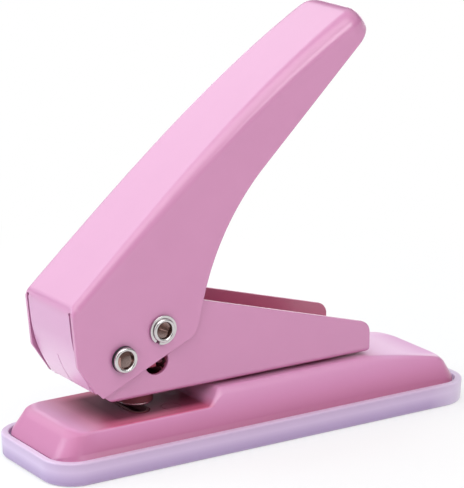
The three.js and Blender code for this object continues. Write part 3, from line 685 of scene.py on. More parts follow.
def base_paint():
    """The base's paint holds painted light and shade: darker towards the foot and lighter higher up, painted
    shade on the low deck near the bracket and on the front end, a painted reflection on the rear ramp, and a
    painted shadow under the bracket, where it is also less glossy.
    """
    made = Paint("pink_base_paint", BASE_PINK)
    x, along, height = made.axes()
    across = squared(x)
    deck = made.rise(height, *DECK_SKIN) * made.rise(along, *DECK_END)
    under = made.rise(across, *SHADE_ACROSS) * made.rise(along, *SHADE_ALONG)
    under = under * made.rise(height, *SHADE_HEIGHT)
    # The front end: painted shade, and a thinner coat.
    front = made.rise(along, *FRONT_SHADE_SPAN)
    # The rear ramp's painted reflection.
    ramp = made.rise(across, *RAMP_SHEEN_WIDTH) * made.rise(along, *RAMP_SHEEN_SPAN)
    # Painted shade on the low deck near the bracket, with a painted shadow under it.
    low = made.mix(under, made.mix(made.rise(along, *DECK_SHADE_FADE), DECK_SHADE_PINK, DECK_LIT_PINK), DECK_SHADED)
    # Painted shade and light on the walls by height.
    wall = made.bands(height * (1 / (RAISED_TOP * MM)), BASE_SHADE_BANDS)
    wall = made.mix(ramp, made.mix(front, wall, SHADED_BASE_END), SHEEN_RAMP_PINK)
    peel = made.noise(PEEL_SCALE, 2)
    made.set(
        Base_Color=made.mix(deck, wall, low),
        Roughness=peel * 0.05 + 0.36,
        Normal=made.bump(peel, 0.006),
        Coat_Roughness=0.3,
        Specular_IOR_Level=0.1,
        Coat_Weight=COAT - under * 0.88 - front * 0.35,
        Coat_IOR=COAT_IOR,
    )
    return made.material


def tray_plastic():
    made = Paint("lilac_tray_plastic", (0.6, 0.5, 0.75, 1))
    _, y, z = made.axes()
    # Painted light and shade by height, and painted light at the rear end.
    band = made.bands(z * (1 / (TRAY_HEIGHT * MM)), TRAY_LIGHT_AND_SHADE)
    frost = made.noise(FROST_SCALE, 3)
    cloud = made.noise(60, 2)
    made.set(
        Base_Color=made.mix(made.rise(y, *LIT_BACK_SPAN), band, LIT_TRAY_BACK),
        Roughness=frost * 0.12 + cloud * 0.08 + 0.3,
        Normal=made.bump(frost, 0.01),
        Transmission_Weight=0.15,
        IOR=1.5,
        Coat_Weight=0.3,
        Coat_Roughness=0.15,
    )
    return made.material


def bare_metal(name, colour, roughness, stretch, depth=0.004, metallic=1.0):
    """Metal with the fine lines that turning or grinding leaves along one axis."""
    made = Paint(name, colour)
    lines = made.noise(PEEL_SCALE, 3, stretch)
    smear = made.noise(SMEAR_SCALE, 2)
    darker = tuple(SMEAR_SHADE * c for c in colour[:3]) + (1,)
    made.set(
        Base_Color=made.mix(smear, colour, darker),
        Roughness=lines * 0.16 + smear * 0.08 + roughness,
        Metallic=metallic,
        Normal=made.bump(lines, depth),
    )
    return made.material


def black_plastic():
    made = Paint("black_washer_plastic", (0.01, 0.01, 0.012, 1))
    grain = made.noise(GRAIN_SCALE, 3)
    made.set(
        Base_Color=made.mix(grain, srgb(22, 20, 24), srgb(38, 34, 40)),
        Roughness=grain * 0.2 + 0.4,
        Normal=made.bump(grain, 0.02),
    )
    return made.material


# The lever's paint holds a painted reflection on its folded front.
LEVER_PAINT = gloss_paint("pink_lever_paint", painted_flap_sheen)
# The bracket's paint holds painted shade on the channel's inner faces.
BRACKET_PAINT = gloss_paint("pink_bracket_paint", painted_inside_shade)
BASE_PAINT = base_paint()
TRAY = tray_plastic()
CHROME = bare_metal("pin_chrome", srgb(214, 210, 210), 0.12, (6, 1, 1), 0.003)
STEEL = bare_metal("ground_steel", srgb(150, 152, 156), 0.3, (1, 1, 5))
# Browned steel on hidden pieces; on the guide collar and the die rim its darkness is painted shade.
DARK = bare_metal("browned_steel_and_painted_shade", srgb(104, 44, 54), 0.5, (1, 1, 4), metallic=0.5)
# Painted shade: the block's deep red stands for pink paint in shade inside the channel, seen through the
# wall's hole.
BLOCK_SHADE_RED = bare_metal("block_shade_red", srgb(178, 70, 96), 0.6, (1, 1, 4), metallic=0.0)
WIRE = bare_metal("oiled_spring_wire", srgb(92, 46, 54), 0.5, (1, 1, 8), metallic=0.5)
# Bare steel in the bores, darker and pinker than the chrome: painted shade and a painted pink reflection in
# the hollow.
BORE = bare_metal("bored_steel_and_painted_shade", srgb(158, 136, 132), 0.12, (1, 1, 6))
WASHER = black_plastic()


# Tray


def make_tray():
    """Its section runs as (inset, height) from the outline under the floor to the inside of the floor."""
    half_x, half_y = TRAY_WIDTH / 2, TRAY_LENGTH / 2
    edge, draft, top_edge, lip_edge, foot = 0.94, 0.22, 0.45, 0.35, 0.6
    least_corner = 1.0
    steps = 6
    ledge_inset = TRAY_RIM + LEDGE_WIDTH
    path = [(edge + draft, 0.0)]
    path += arc((edge + draft, edge), edge, -QUARTER, -2 * QUARTER, steps + 2)[1:]
    path += arc((top_edge, TRAY_HEIGHT - top_edge), top_edge, 2 * QUARTER, QUARTER, steps)
    path += arc((TRAY_RIM - lip_edge, TRAY_HEIGHT - lip_edge), lip_edge, QUARTER, 0, steps)
    path += [(TRAY_RIM, LEDGE_TOP)]
    path += arc((ledge_inset - lip_edge, LEDGE_TOP - lip_edge), lip_edge, QUARTER, 0, steps)
    path += arc((ledge_inset + foot, TRAY_FLOOR + foot), foot, 2 * QUARTER, 3 * QUARTER, steps)
    rings = []
    for inset, height in path:
        corner = max(TRAY_CORNER - inset, least_corner)
        rings.append([along_z(p, height) for p in rounded_box(half_x - inset, half_y - inset, corner)])
    skin = Skin()
    skin.rings(rings)
    piece("tray_body", skin, "tray", ["chip_tray"], TRAY)


# Base


def top_height(y):
    if y > RAMP_START:
        along = min((y - RAMP_START) / (RAMP_END - RAMP_START), 1)
        return RAISED_TOP - RAMP_DROP * along ** RAMP_POWER
    return DECK_TOP + (RAISED_TOP - DECK_TOP) * smooth(y, STEP_FOOT, STEP_FOOT + STEP_RUN)


def base_section(y, end, inner=False):
    """The base's section at y, from the flange's edge to the deck, as (inset, height).

    Along the sides end is 0; round the corners it rises to 1, where the ends are rounder."""
    top = top_height(y)
    raised = (top - DECK_TOP) / (RAISED_TOP - DECK_TOP)
    wall = WALL_INSET + WALL_LEAN * raised
    width = DECK_SHOULDER + (RAISED_SHOULDER - DECK_SHOULDER) * raised
    depth = SHOULDER_DEPTH * width
    wall += (END_INSET - wall) * end
    width += (END_SHOULDER - width) * end
    depth += (END_DEPTH - depth) * end
    flare = 1 + (END_FLARE - 1) * end
    run, rise = FOOT_RUN * flare, FOOT_RISE * flare
    shares = [i / FOOT_STEPS for i in range(FOOT_STEPS + 1)]
    path = [Vector((FLANGE_INSET + run * share, FLANGE_TOP + rise * share ** FOOT_POWER)) for share in shares]
    if inner:
        path = thinned(path)
        wall += BASE_SHEET
        top -= BASE_SHEET
        width, depth = (max(size - BASE_SHEET, LEAST_SHOULDER) for size in (width, depth))
    centre = Vector((wall + width, top - depth))
    start = Vector(((path[-1].x - centre.x) / width, (path[-1].y - centre.y) / depth))
    first = math.atan2(start.y, start.x) % (4 * QUARTER) - math.acos(min(1 / start.length, 1))
    bend = [centre + Vector((width * p.x, depth * p.y)) for p in arc((0, 0), 1, first, QUARTER, FINE)]
    return path + [path[-1].lerp(bend[0], i / 4) for i in (1, 2, 3)] + bend


def thinned(path):
    """The foot's path, a sheet's thickness further in."""
    found = []
    for i, p in enumerate(path):
        run = path[min(i + 1, len(path) - 1)] - path[max(i - 1, 0)]
        inward = Vector((run.y, -run.x)).normalized() if i else Vector((0, -1))
        thick = FLANGE_SHEET + (BASE_SHEET - FLANGE_SHEET) * smooth(p.y, FLANGE_TOP, FLANGE_TOP + FOOT_RISE)
        found.append(p + inward * thick)
    return found


def base_ring(level, inner):
    """One ring of the base's skin: the right half from rear to front, then the left half."""
    def at(y, end):
        return base_section(y, end, inner)[level]
    rear = BASE_HALF_Y - REAR_LEAN * at(BASE_HALF_Y, 1).x
    front = BASE_HALF_Y - FRONT_LEAN * at(-BASE_HALF_Y, 1).x
    corner = BASE_CORNER - at(0, 0).x / 2
    ramp_steps, step_steps, turn_start = FINE, 18, 0.2
    ramp = [RAMP_START + (rear - corner - RAMP_START) * i / ramp_steps for i in reversed(range(ramp_steps))]
    step = [STEP_FOOT + STEP_RUN * i / step_steps for i in range(step_steps, -1, -1)]
    turns = [smooth(i / FINE, turn_start, 1) for i in range(FINE + 1)]
    rear_arc = arc((-corner, rear - corner), corner, QUARTER, 0, FINE)
    front_arc = arc((-corner, corner - front), corner, 0, -QUARTER, FINE)
    places = [(p.x, p.y, end) for p, end in zip(rear_arc, reversed(turns))]
    places += [(0, y, 0) for y in (*ramp, *step)]
    places += [(p.x, p.y, end) for p, end in zip(front_arc, turns)]
    points = [Vector((x, rear)) for x in (0, DECK_SEAM)]
    points += [Vector((BASE_HALF_X - at(y, end).x + x, y)) for x, y, end in places]
    points += [Vector((x, -front)) for x in (DECK_SEAM, 0)]
    ends = [1, 1, *(end for _, _, end in places), 1, 1]
    return [along_z(p, at(p.y, end).y) for p, end in zip(points, ends)]


def make_base():
    sheet = Sheet()
    rings = []
    flip = Vector((-1, 1, 1))
    for level in range(len(base_section(0, 0))):
        pairs = list(zip(base_ring(level, False), base_ring(level, True)))
        right = [sheet.add(o, i) for o, i in pairs]
        left = [sheet.add(o * flip, i * flip) for o, i in pairs]
        rings.append((right, left))
    for (right_a, left_a), (right_b, left_b) in zip(rings, rings[1:]):
        sheet.bridge(right_a, right_b)
        sheet.bridge(left_b, left_a)
    right, left = rings[-1]
    rows = []
    for a, b in zip(right[2:-FINE - 2], left[2:-FINE - 2]):
        y, z = sheet.outer[a].y, sheet.outer[a].z
        seam = [sheet.add((x, y, z), (x, y, z - BASE_SHEET)) for x in (DECK_SEAM, 0, -DECK_SEAM)]
        rows.append([a, *seam, b])
    for back, ahead in zip(rows, rows[1:]):
        sheet.bridge(ahead, back)
    foot = rows[-1]
    sheet.face([*right[-FINE - 3:-1], foot[1]])
    sheet.face([foot[1], right[-2], right[-1], foot[2]])
    sheet.face([foot[3], foot[2], left[-1], left[-2]])
    sheet.face([foot[3], *left[-FINE - 3:-1][::-1]])
    raised = (RAISED_TOP - OVERRUN, RAISED_TOP + OVERRUN)
    low = (DECK_TOP - OVERRUN, DECK_TOP + OVERRUN)
    holes = [prism(obround(*grown(BLADE, BLADE_GAP + DIE_RIM + GAP / 2)), along_z, *low)]
    holes += [prism(circle((0, y), RIVET_SHANK + GAP), along_z, *raised) for y in RIVET_Y.values()]
    holes += [prism(circle((side * DIE_RIVET_X, DIE_RIVET_Y), DIE_RIVET_HEAD + 0.1), along_z, *low)
              for _, side in SIDES]
    piece("base_pressing", sheet.skin(), "frame", ["base_shell"], BASE_PAINT, 0.12, holes, 2)
    bore, head, foot = RIVET_SHANK + GAP, 4.3, 4.7
    top, bottom = BRACKET_BOTTOM - GAP, RAISED_TOP - 0.6
    profile = eased([(bore, bottom), (bore, top), (head, top), (foot, RAISED_TOP - 0.1), (foot, bottom),
                     (bore, bottom)], 0.2)
    for name, y in RIVET_Y.items():
        piece(f"base_pad_{name}", turned(profile[:-1], round_z(0, y)), "frame", ["base_shell"],
              BASE_PAINT)


# Bracket

BEND_STEPS = 10
NUB_STEPS = 8
NUB = (3.6, 0.95)      # how far back the rounded lower front corner reaches, and how far up the wall
HEEL_NUB = (0.9, -0.8)
NUB_POWER = 1.4
CROWN = ((BRACKET_REAR, 7.6, 3.2), (-24.0, 23.4, 8.0), (BRACKET_FRONT, 15.0, 4.0))  # (y, rise, radius)
CROWN_STEPS = 20
NECK = (DRIVE[0] - 0.7, DRIVE[1] - 8.2)    # the round lower end of the drive pin's opening
NECK_RADIUS = 3.2


def nub(reach, climb, along):
    """How far a lower corner is cut back, at a length along the sheet from the floor up."""
    whole = BRACKET_BEND * QUARTER + climb
    return reach * max(0.0, 1 - along / whole) ** NUB_POWER


def drive_path(radius):
    """The slot that the drive pin sweeps round the pivot."""
    arm = math.hypot(DRIVE[0] - PIVOT[0], DRIVE[1] - PIVOT[1])
    start = math.atan2(DRIVE[1] - PIVOT[1], DRIVE[0] - PIVOT[0])
    end = start - TURN
    low = Vector(PIVOT) + arm * polar(end)
    return (arc(PIVOT, arm + radius, end, start, FINE)[:-1]
            + arc(DRIVE, radius, start, start + math.pi, 2 * FINE)[:-1]
            + arc(PIVOT, arm - radius, start, end, FINE)[:-1]
            + arc(low, radius, end + math.pi, end + 2 * math.pi, 2 * FINE)[:-1])


def make_bracket():
    sheet = Sheet()
    bend_top = BRACKET_BOTTOM + BRACKET_BEND
    inner_bend = BRACKET_BEND - SHEET
    seam_angle = math.atan2(DRIVE[1] - PIVOT[1], DRIVE[0] - PIVOT[0]) - TURN / 2
    corners = [(y, BRACKET_BOTTOM + rise, radius) for y, rise, radius in CROWN]
    crown = rounded([(BRACKET_REAR, bend_top, 0), *corners, (BRACKET_FRONT, bend_top, 0)], CROWN_STEPS)[1:-1]
    climbs = [NUB[1] * i / NUB_STEPS for i in range(NUB_STEPS, -1, -1)]
    front = [Vector((BRACKET_FRONT + nub(*NUB, BRACKET_BEND * QUARTER + climb), bend_top + climb))
             for climb in climbs]
    seam_top = meet(PIVOT, polar(seam_angle), crown)
    beyond = [p for p in crown if p.x < seam_top.x]
    below = [p for p in crown if p.x > seam_top.x]
    edge = Vector((BRACKET_FRONT, PIVOT[1]))
    upper = [seam_top, *beyond, edge, Vector(PIVOT)]
    lower = [Vector((BRACKET_REAR, bend_top)), *below, seam_top, Vector(PIVOT), edge, *front]
    rows = []
    for side in (1, -1):
        for outline in (upper, lower):
            wall = [sheet.add(along_x(p, side * BRACKET_HALF), along_x(p, side * (BRACKET_HALF - SHEET)))
                    for p in outline]
            sheet.face(wall if side > 0 else wall[::-1])
        ends = []
        for i in range(BEND_STEPS + 1):
            angle = QUARTER * i / BEND_STEPS
            flat = Vector((side * (BRACKET_HALF - BRACKET_BEND), bend_top))
            way = Vector((side * math.sin(angle), -math.cos(angle)))
            out, ins = flat + way * BRACKET_BEND, flat + way * inner_bend
            along = BRACKET_BEND * angle
            ends.append([sheet.add(along_y(out, y), along_y(ins, y)) for y in
                         (BRACKET_FRONT + nub(*NUB, along), BRACKET_REAR - nub(*HEEL_NUB, along))])
        sheet.strips(ends, side)
        rows.append(ends[0])
    (a, b), (c, d) = rows
    e, f = [sheet.add((0, y, BRACKET_BOTTOM), (0, y, FLOOR_TOP)) for y in
            (BRACKET_FRONT + NUB[0], BRACKET_REAR - HEEL_NUB[0])]
    sheet.face((c, d, f, e))
    sheet.face((e, f, b, a))
    reach = BRACKET_HALF + OVERRUN
    down, up = BRACKET_BOTTOM - OVERRUN, FLOOR_TOP + OVERRUN
    cutters = [
        prism(drive_path(DRIVE_RADIUS + GAP), along_x, -reach, reach),
        prism(circle(NECK, NECK_RADIUS), along_x, -reach, reach),
        prism(circle(PIVOT, PIVOT_RADIUS + GAP), along_x, -reach, reach),
        prism(obround(*grown(COLLAR_NECK, GAP)), along_z, down, up),
        prism(circle((0, SPRING_Y), STUD_SHANK + GAP), along_z, down, up),
        *[prism(circle((0, y), RIVET_SHANK + GAP), along_z, down, up) for y in RIVET_Y.values()],
    ]
    piece("bracket_channel", sheet.skin(), "frame", ["bracket"], BRACKET_PAINT, 0.2, cutters)


# Lever

FLAP_END = (PIVOT[0] - 7.3, PIVOT[1] - 7.47)
KINK = (PIVOT[0] - 12.1, PIVOT[1] - 0.2)
NOSE = (PIVOT[0] - 13.4, PIVOT[1] + 13.6)
TIP = (PIVOT[0] + 67.7, PIVOT[1] + 77.05)
LOW_CORNER = (PIVOT[0] - 5.4, PIVOT[1] - 8.87)
HEEL = (PIVOT[0] + 20.0, PIVOT[1] + 2.62)
KNEE = (PIVOT[0] + 22.1, PIVOT[1] + 10.7)
ELBOW = (PIVOT[0] + 39.3, PIVOT[1] + 40.9)
NOSE_SLOPE = 0.07
TIP_SLOPE = 0.158
HEEL_RADIUS = 4.0
ELBOW_RADIUS = 62.0
TIP_CORNER = 6.2
TIP_EDGE = 4.8
TIP_DEPTH = 6.3
SLIT_EDGE = 9.72
SLIT_WIDTH = 0.72
SLIT_END = 3           # rows that the corner slits run past the flap's own
FLAP_BEND = 34.0       # the flap is bent softly, so it lies a little behind the walls' front edges
NOSE_RADIUS = 3.2
KINK_RADIUS = 1.5
WEB_START = 5.5        # lengths along the web: where its plain sections start, and how many steps they take
WEB_STEPS = 60
NOSE_STEPS = 12
TIP_STEPS = 16
BEND_LEAD = 0.6        # how far before the nose the bend starts to grow
LEAST_BEND = 0.15
WEB_LENGTH = math.hypot(TIP[0] - NOSE[0], TIP[1] - NOSE[1])


def bowed(a, b, radius, steps):
    """The arc from a to b that bows to the left of the way."""
    a, b = Vector(a), Vector(b)
    way = b - a
    out = Vector((-way.y, way.x)) / way.length
    centre = (a + b) / 2 - out * math.sqrt(radius ** 2 - way.length ** 2 / 4)
    first = math.atan2(a.y - centre.y, a.x - centre.x)
    return arc(centre, radius, first, first - (a - centre).angle(b - centre), steps)


def web(length):
    """Place and inward direction on the web's profile, which bows most near the tip."""
    share = length / WEB_LENGTH
    chord = Vector(TIP) - Vector(NOSE)
    out = Vector((-chord.y, chord.x))
    rise = NOSE_SLOPE * share * (1 - share) ** 2 + TIP_SLOPE * share ** 2 * (1 - share)
    slope = NOSE_SLOPE * (1 - share) * (1 - 3 * share) + TIP_SLOPE * share * (2 - 3 * share)
    run = (chord + out * slope).normalized()
    return Vector(NOSE) + chord * share + out * rise, Vector((run.y, -run.x))


def edge_radius(length):
    """The bend between web and walls is tight beside the flap and grows from the nose to the tip."""
    tight, lip, shoulder, growth = 0.3, 0.6, 0.9, 2.2
    radius = tight + lip * smooth(length, -BEND_LEAD, 1 - BEND_LEAD) + shoulder * smooth(length, 0, 4)
    return radius + growth * max(length, 0) / WEB_LENGTH


def lever_rows():
    """Sections of the lever up to the tip's round: (place, inward direction, bend radius, flap recess)."""
    facet_steps, face_steps, kink_steps, nose_aim = 8, 10, 6, 8
    nose = fillet(KINK, NOSE, web(nose_aim)[0], NOSE_RADIUS, NOSE_STEPS)
    kink = fillet(FLAP_END, KINK, NOSE, KINK_RADIUS, kink_steps)
    facet = [Vector(FLAP_END).lerp(kink[0], i / facet_steps) for i in range(facet_steps)]
    face = [kink[-1].lerp(nose[0], i / face_steps) for i in range(1, face_steps)]
    path = facet + kink + face + nose
    flap_count = len(facet + kink + face)
    flap = [Vector(FLAP_END), *fillet(FLAP_END, KINK, NOSE, FLAP_BEND, 4 * NOSE_STEPS), Vector(NOSE)]
    stop = WEB_LENGTH - TIP_CORNER
    rows = []
    after = 4.0            # the length at which the growing bend leaves the nose
    for i, place in enumerate(path):
        run = (path + [web(WEB_START)[0]])[i + 1] - path[max(i - 1, 0)]
        inward = Vector((run.y, -run.x)).normalized()
        recess = 0
        if i < flap_count:
            recess = (meet(place - inward, inward, flap) - place).dot(inward)
        length = (after + BEND_LEAD) * (i - flap_count) / NOSE_STEPS - BEND_LEAD
        rows.append((place, inward, edge_radius(length), recess))
    for i in range(WEB_STEPS + 1):
        gone = (stop - WEB_START) * i / WEB_STEPS
        rows.append((*web(WEB_START + gone), edge_radius(after + gone), 0))
    return rows, len(facet), flap_count


def bend_line(half, depth, radius):
    """Section points from the web's edge to the wall, as (x, depth)."""
    return arc((half - radius, depth + radius), radius, -QUARTER, 0, FINE)


def both(sheet, side, outer, inner):
    """A point of the sheet on one side, from (x, place) on its outer face and on its inner face."""
    return sheet.add(Vector((side * outer[0], *outer[1])), Vector((side * inner[0], *inner[1])))


def tip_drop(length, thickness):
    """How far the tip has turned down at a length along the web."""
    deep = TIP_EDGE - thickness
    reach = min(1.0, max(0.0, (length - WEB_LENGTH + TIP_EDGE) / deep))
    return TIP_EDGE - deep * math.sqrt(1 - reach ** 2)


def lever_sections(sheet, rows, seam_rows):
    """The bends of both sides from nose to tip, and the lines of the mesh that run beside the slits."""
    bends, seams = {1: [], -1: []}, {1: [], -1: []}
    middle, beside = 0.5, 0.05     # lines of the mesh on both sides of the slits
    for i, (place, inward, radius, recess) in enumerate(rows):
        outer_line = bend_line(LEVER_HALF, 0, radius)
        inner_line = bend_line(LEVER_HALF - SHEET, SHEET, max(radius - SHEET, LEAST_BEND))
        across = [(middle, recess, middle), (SLIT_EDGE - beside, recess, SLIT_EDGE - beside),
                  (SLIT_EDGE + SLIT_WIDTH + beside, 0, SLIT_EDGE + 3 * beside)]
        for side in (1, -1):
            bends[side].append([both(sheet, side, (p.x, place + inward * p.y), (q.x, place + inward * q.y))
                                for p, q in zip(outer_line, inner_line)])
            if i <= seam_rows:
                seam = [both(sheet, side, (x, place + inward * depth), (u, place + inward * (depth + SHEET)))
                        for x, depth, u in across]
                seams[side].append([*seam, bends[side][-1][0]])
    return bends, seams


def lever_tip(sheet, bend):
    """The tip's columns, from the web down: its corners turn in plan while the web turns down."""
    end_place, end_inward = web(WEB_LENGTH)
    tail = end_place + end_inward * TIP_DEPTH
    tail_run = (tail - Vector(ELBOW)).normalized()
    walls = {1: [], -1: []}
    wall_steps, least_wall = 5, 0.7
    for k in range(TIP_STEPS + 1):
        turn = QUARTER * k / TIP_STEPS
        inset = TIP_CORNER - TIP_CORNER * math.sin(turn)
        outer_half = LEVER_HALF - TIP_CORNER + TIP_CORNER * math.cos(turn)
        inner_half = outer_half - SHEET * math.cos(turn)
        outer_length = WEB_LENGTH - inset
        inner_length = outer_length - SHEET * math.sin(turn)
        fall, inner_fall = tip_drop(outer_length, 0), tip_drop(inner_length, SHEET)
        radius = min(bend, TIP_DEPTH - fall - least_wall)
        outer_line = bend_line(outer_half, fall, radius)
        inner_line = bend_line(inner_half, inner_fall, max(radius - SHEET, LEAST_BEND))
        outer_at, outer_in = web(outer_length)
        inner_at, inner_in = web(inner_length)
        for side in (1, -1):
            column = [both(sheet, side, (p.x, outer_at + outer_in * p.y), (q.x, inner_at + inner_in * q.y))
                      for p, q in zip(outer_line, inner_line)]
            foot = tail - tail_run * inset
            inner_foot = foot - tail_run * SHEET * math.sin(turn)
            top, inner_top = sheet.outer[column[-1]], sheet.inner[column[-1]]
            for i in range(1, wall_steps + 1):
                share = i / wall_steps
                outer = Vector((top.y, top.z)).lerp(foot, share)
                inner = Vector((inner_top.y, inner_top.z)).lerp(inner_foot, share)
                column.append(both(sheet, side, (outer_half, outer), (inner_half, inner)))
            walls[side].append(column)
    return walls


def lever_slits(rows, facet_count, flap_count):
    """The flap's two corner slits with their round ends, and the short one in the middle."""
    above, below = 0.8, SHEET + 1.2

    def flap_band(last):
        """The flap's thickness and a little more, from beyond its end up to a row."""
        chosen = [(place, inward) for place, inward, _, _ in rows[:last + 1]]
        way = (Vector(FLAP_END) - Vector(KINK)).normalized()
        chosen.insert(0, (chosen[0][0] + way * OVERRUN, chosen[0][1]))
        return [p - n * above for p, n in chosen] + [p + n * below for p, n in reversed(chosen)]

    slit_top = rows[flap_count + SLIT_END][0]
    narrow, relief, relief_in = 0.15, 0.45, 0.2
    band = flap_band(flap_count + SLIT_END)
    slits = [prism(band, along_x, SLIT_EDGE, SLIT_EDGE + SLIT_WIDTH),
             prism(band, along_x, -SLIT_EDGE - SLIT_WIDTH, -SLIT_EDGE),
             prism(flap_band(facet_count), along_x, -narrow, narrow)]
    for _, side in SIDES:
        hole = circle((side * (SLIT_EDGE + relief_in), slit_top.y - relief_in), relief, ROUND // 4)
        slits.append(prism(hole, along_y, slit_top.x - OVERRUN, slit_top.x + SHEET + above))
    return slits


def make_lever():
    sheet = Sheet()
    rows, facet_count, flap_count = lever_rows()
    seam_rows = flap_count + SLIT_END + 1
    bends, seams = lever_sections(sheet, rows, seam_rows)
    walls = lever_tip(sheet, rows[-1][2])
    for side in (1, -1):
        bends[side] = bends[side][:-1] + [column[:FINE + 1] for column in walls[side]]
        sheet.strips(bends[side], side)
        sheet.strips([column[FINE:] for column in walls[side]], side)
        sheet.strips(seams[side], side)
    sheet.strips([(left[0], right[0]) for right, left in zip(seams[1], seams[-1])])
    plain = [(left[0], right[0]) for right, left in zip(bends[1], bends[-1])][seam_rows + 1:]
    sheet.face(seams[-1][-1][::-1] + seams[1][-1] + [*plain[0][::-1]])
    sheet.strips(plain)
    sheet.bridge(walls[1][-1], walls[-1][-1])

    # Side walls, in two faces each, so that the holes for the pins cross an edge
    heel_steps, elbow_steps = 16, 30
    heel = fillet(LOW_CORNER, HEEL, KNEE, HEEL_RADIUS, heel_steps)
    lower = [Vector(LOW_CORNER), *heel, *bowed(KNEE, ELBOW, ELBOW_RADIUS, elbow_steps)]
    for side in (1, -1):
        top = [column[FINE] for column in bends[side][:-TIP_STEPS]]
        down = walls[side][0][FINE + 1:]
        back = [both(sheet, side, (LEVER_HALF, p), (LEVER_HALF - SHEET, p)) for p in reversed(lower)]
        seam = [both(sheet, side, (LEVER_HALF, Vector(p)), (LEVER_HALF - SHEET, Vector(p)))
                for p in (PIVOT, DRIVE)]
        split_front = facet_count + 3
        split_back = len(back) - len(heel) - 1
        above = top[split_front:] + down + back[:split_back + 1] + seam[::-1]
        under = top[:split_front + 1] + seam + back[split_back:]
        for loop in (above, under):
            sheet.face(loop[::-1] if side > 0 else loop)

    reach = LEVER_HALF + OVERRUN
    cutters = [prism(circle(PIVOT, PIVOT_RADIUS + GAP), along_x, -reach, reach),
               prism(circle(DRIVE, DRIVE_RADIUS + GAP), along_x, -reach, reach)]
    piece("lever_shell", sheet.skin(), "handle", ["lever"], LEVER_PAINT, 0.16, cutters,
          slits=lever_slits(rows, facet_count, flap_count))


# Pins, rings and the hidden works


def dress(obj, material, chosen):
    """Gives some of a piece's faces another finish."""
    obj.data.materials.append(material)
    for face in obj.data.polygons:
        if chosen(face.center / MM):
            face.material_index = 1


def bored_pin(name, body, node, axis, half, ease, bore, depth, facing, rim):
    """A pin along X: the same rim at both ends, round a polished bore that ends in a three-sided point."""
    end = max(height for _, height in half)
    floor = end - depth
    both_ends = [(r, -h) for r, h in reversed(half)] + half
    profile = [(0, -floor), (bore, -floor), *eased(both_ends, ease), (bore, floor), (0, floor)]
    skin = turned(profile, round_x(axis), dimple=(math.radians(facing), DIMPLE_SLOPE))
    pin = piece(name, skin, body, [node], CHROME)
    # The bore takes the darker metal as painted shade.
    dress(pin, BORE, lambda p: (math.hypot(p.y - axis[0], p.z - axis[1]) < bore + BORE_EDGE
                                and abs(p.x) < end - rim))


def tube(inner, outer, low, high, ease, side=1):
    """The profile of a ring with rounded edges; side turns it to the left."""
    profile = [(inner, low), (outer, low), (outer, high), (inner, high), (inner, low)]
    return [(r, side * h) for r, h in eased(profile, ease)[:-1]]


DIMPLE_SLOPE = 0.9
BORE_EDGE = 0.08
WASHER_SHEET = 0.6
RING_SHEET = 0.45
RING_RADII = (2.55, 3.55)
RING_GAP = (-2.1, 0.3)     # direction and width, in radians


def make_pins():
    rim, rim_height, lip, lip_steps = 3.12, 0.6, 0.5, 16
    rim_foot = LEVER_HALF + GAP + WASHER_SHEET + GAP / 2
    end = rim_foot + rim_height
    half = [(PIVOT_RADIUS, rim_foot), (rim, rim_foot),
            *arc((rim - lip, end - lip), lip, 0, 2 * QUARTER, lip_steps)]
    bored_pin("pivot_pin_turned", "frame", "pivot_pin", PIVOT, half, ease=0.12, bore=2.05, depth=2.9,
              facing=75, rim=0.45)

    neck, groove_width, cap, lip = 2.4, 0.6, 0.5, 0.45
    collar, groove = LEVER_HALF + GAP / 2, LEVER_HALF + GAP + groove_width
    end = groove + cap
    half = [(DRIVE_RADIUS, collar), (neck, collar), (neck, groove), (DRIVE_RADIUS, groove),
            *arc((DRIVE_RADIUS - lip, end - lip), lip, 0, 2 * QUARTER, lip_steps)]
    bored_pin("drive_pin_turned", "handle", "drive_pin", DRIVE, half, ease=0.1, bore=1.93, depth=2.7,
              facing=35, rim=0.4)

    first, last = RING_GAP[0] + RING_GAP[1] / 2, RING_GAP[0] + 2 * math.pi - RING_GAP[1] / 2
    ring = arc(DRIVE, RING_RADII[1], first, last, ROUND) + arc(DRIVE, RING_RADII[0], last, first, ROUND)
    for name, side in SIDES:
        low = LEVER_HALF + GAP
        skin = prism(ring, along_x, *sorted((side * low, side * (low + RING_SHEET))))
        piece(f"drive_ring_{name}", skin, "handle", [f"drive_clip_{name}"], CHROME, 0.12)
        low = LEVER_HALF + GAP / 2
        washer = tube(2.75, 3.2, low, low + WASHER_SHEET, 0.12, side)
        piece(f"pivot_washer_{name}_soft", turned(washer, round_x(PIVOT)), "frame",
              [f"pivot_washer_{name}"], WASHER)

    half = BRACKET_HALF - SHEET - GAP
    spacer = tube(PIVOT_RADIUS + GAP, 3.9, -half, half, 0.25)
    piece("pivot_tube", turned(spacer, round_x(PIVOT)), "frame", ["pivot_spacer"], DARK)


def make_rivets():
    """Each has a set tail under the raised deck, a shank and a domed head on the channel's floor."""
    head, rise, lip, set_radius, set_height, steps = 3.4, 1.05, 0.25, 3.0, 0.8, 12
    foot = FLOOR_TOP + GAP
    tail = RAISED_TOP - BASE_SHEET - GAP
    dome = [(head * p.x, foot + lip + rise * p.y) for p in arc((0, 0), 1, 0, QUARTER, steps)]
    shank = stepped((set_radius, tail - set_height, tail, 0.3, 0), (RIVET_SHANK, tail, foot, 0, 0))[:-1]
    profile = [*shank, (head - 0.1, foot), *dome[:-1], (0, foot + lip + rise)]
    for name, y in RIVET_Y.items():
        piece(f"bracket_rivet_{name}_dome", turned(profile, round_z(0, y)), "frame",
              [f"bracket_rivet_{name}"], CHROME)


def obround_skin(levels):
    """A ring round the blade from a closed profile of (size, height)."""
    skin = Skin()
    skin.rings([[along_z(p, z) for p in obround(*size)] for size, z in levels], chained=True)
    return skin


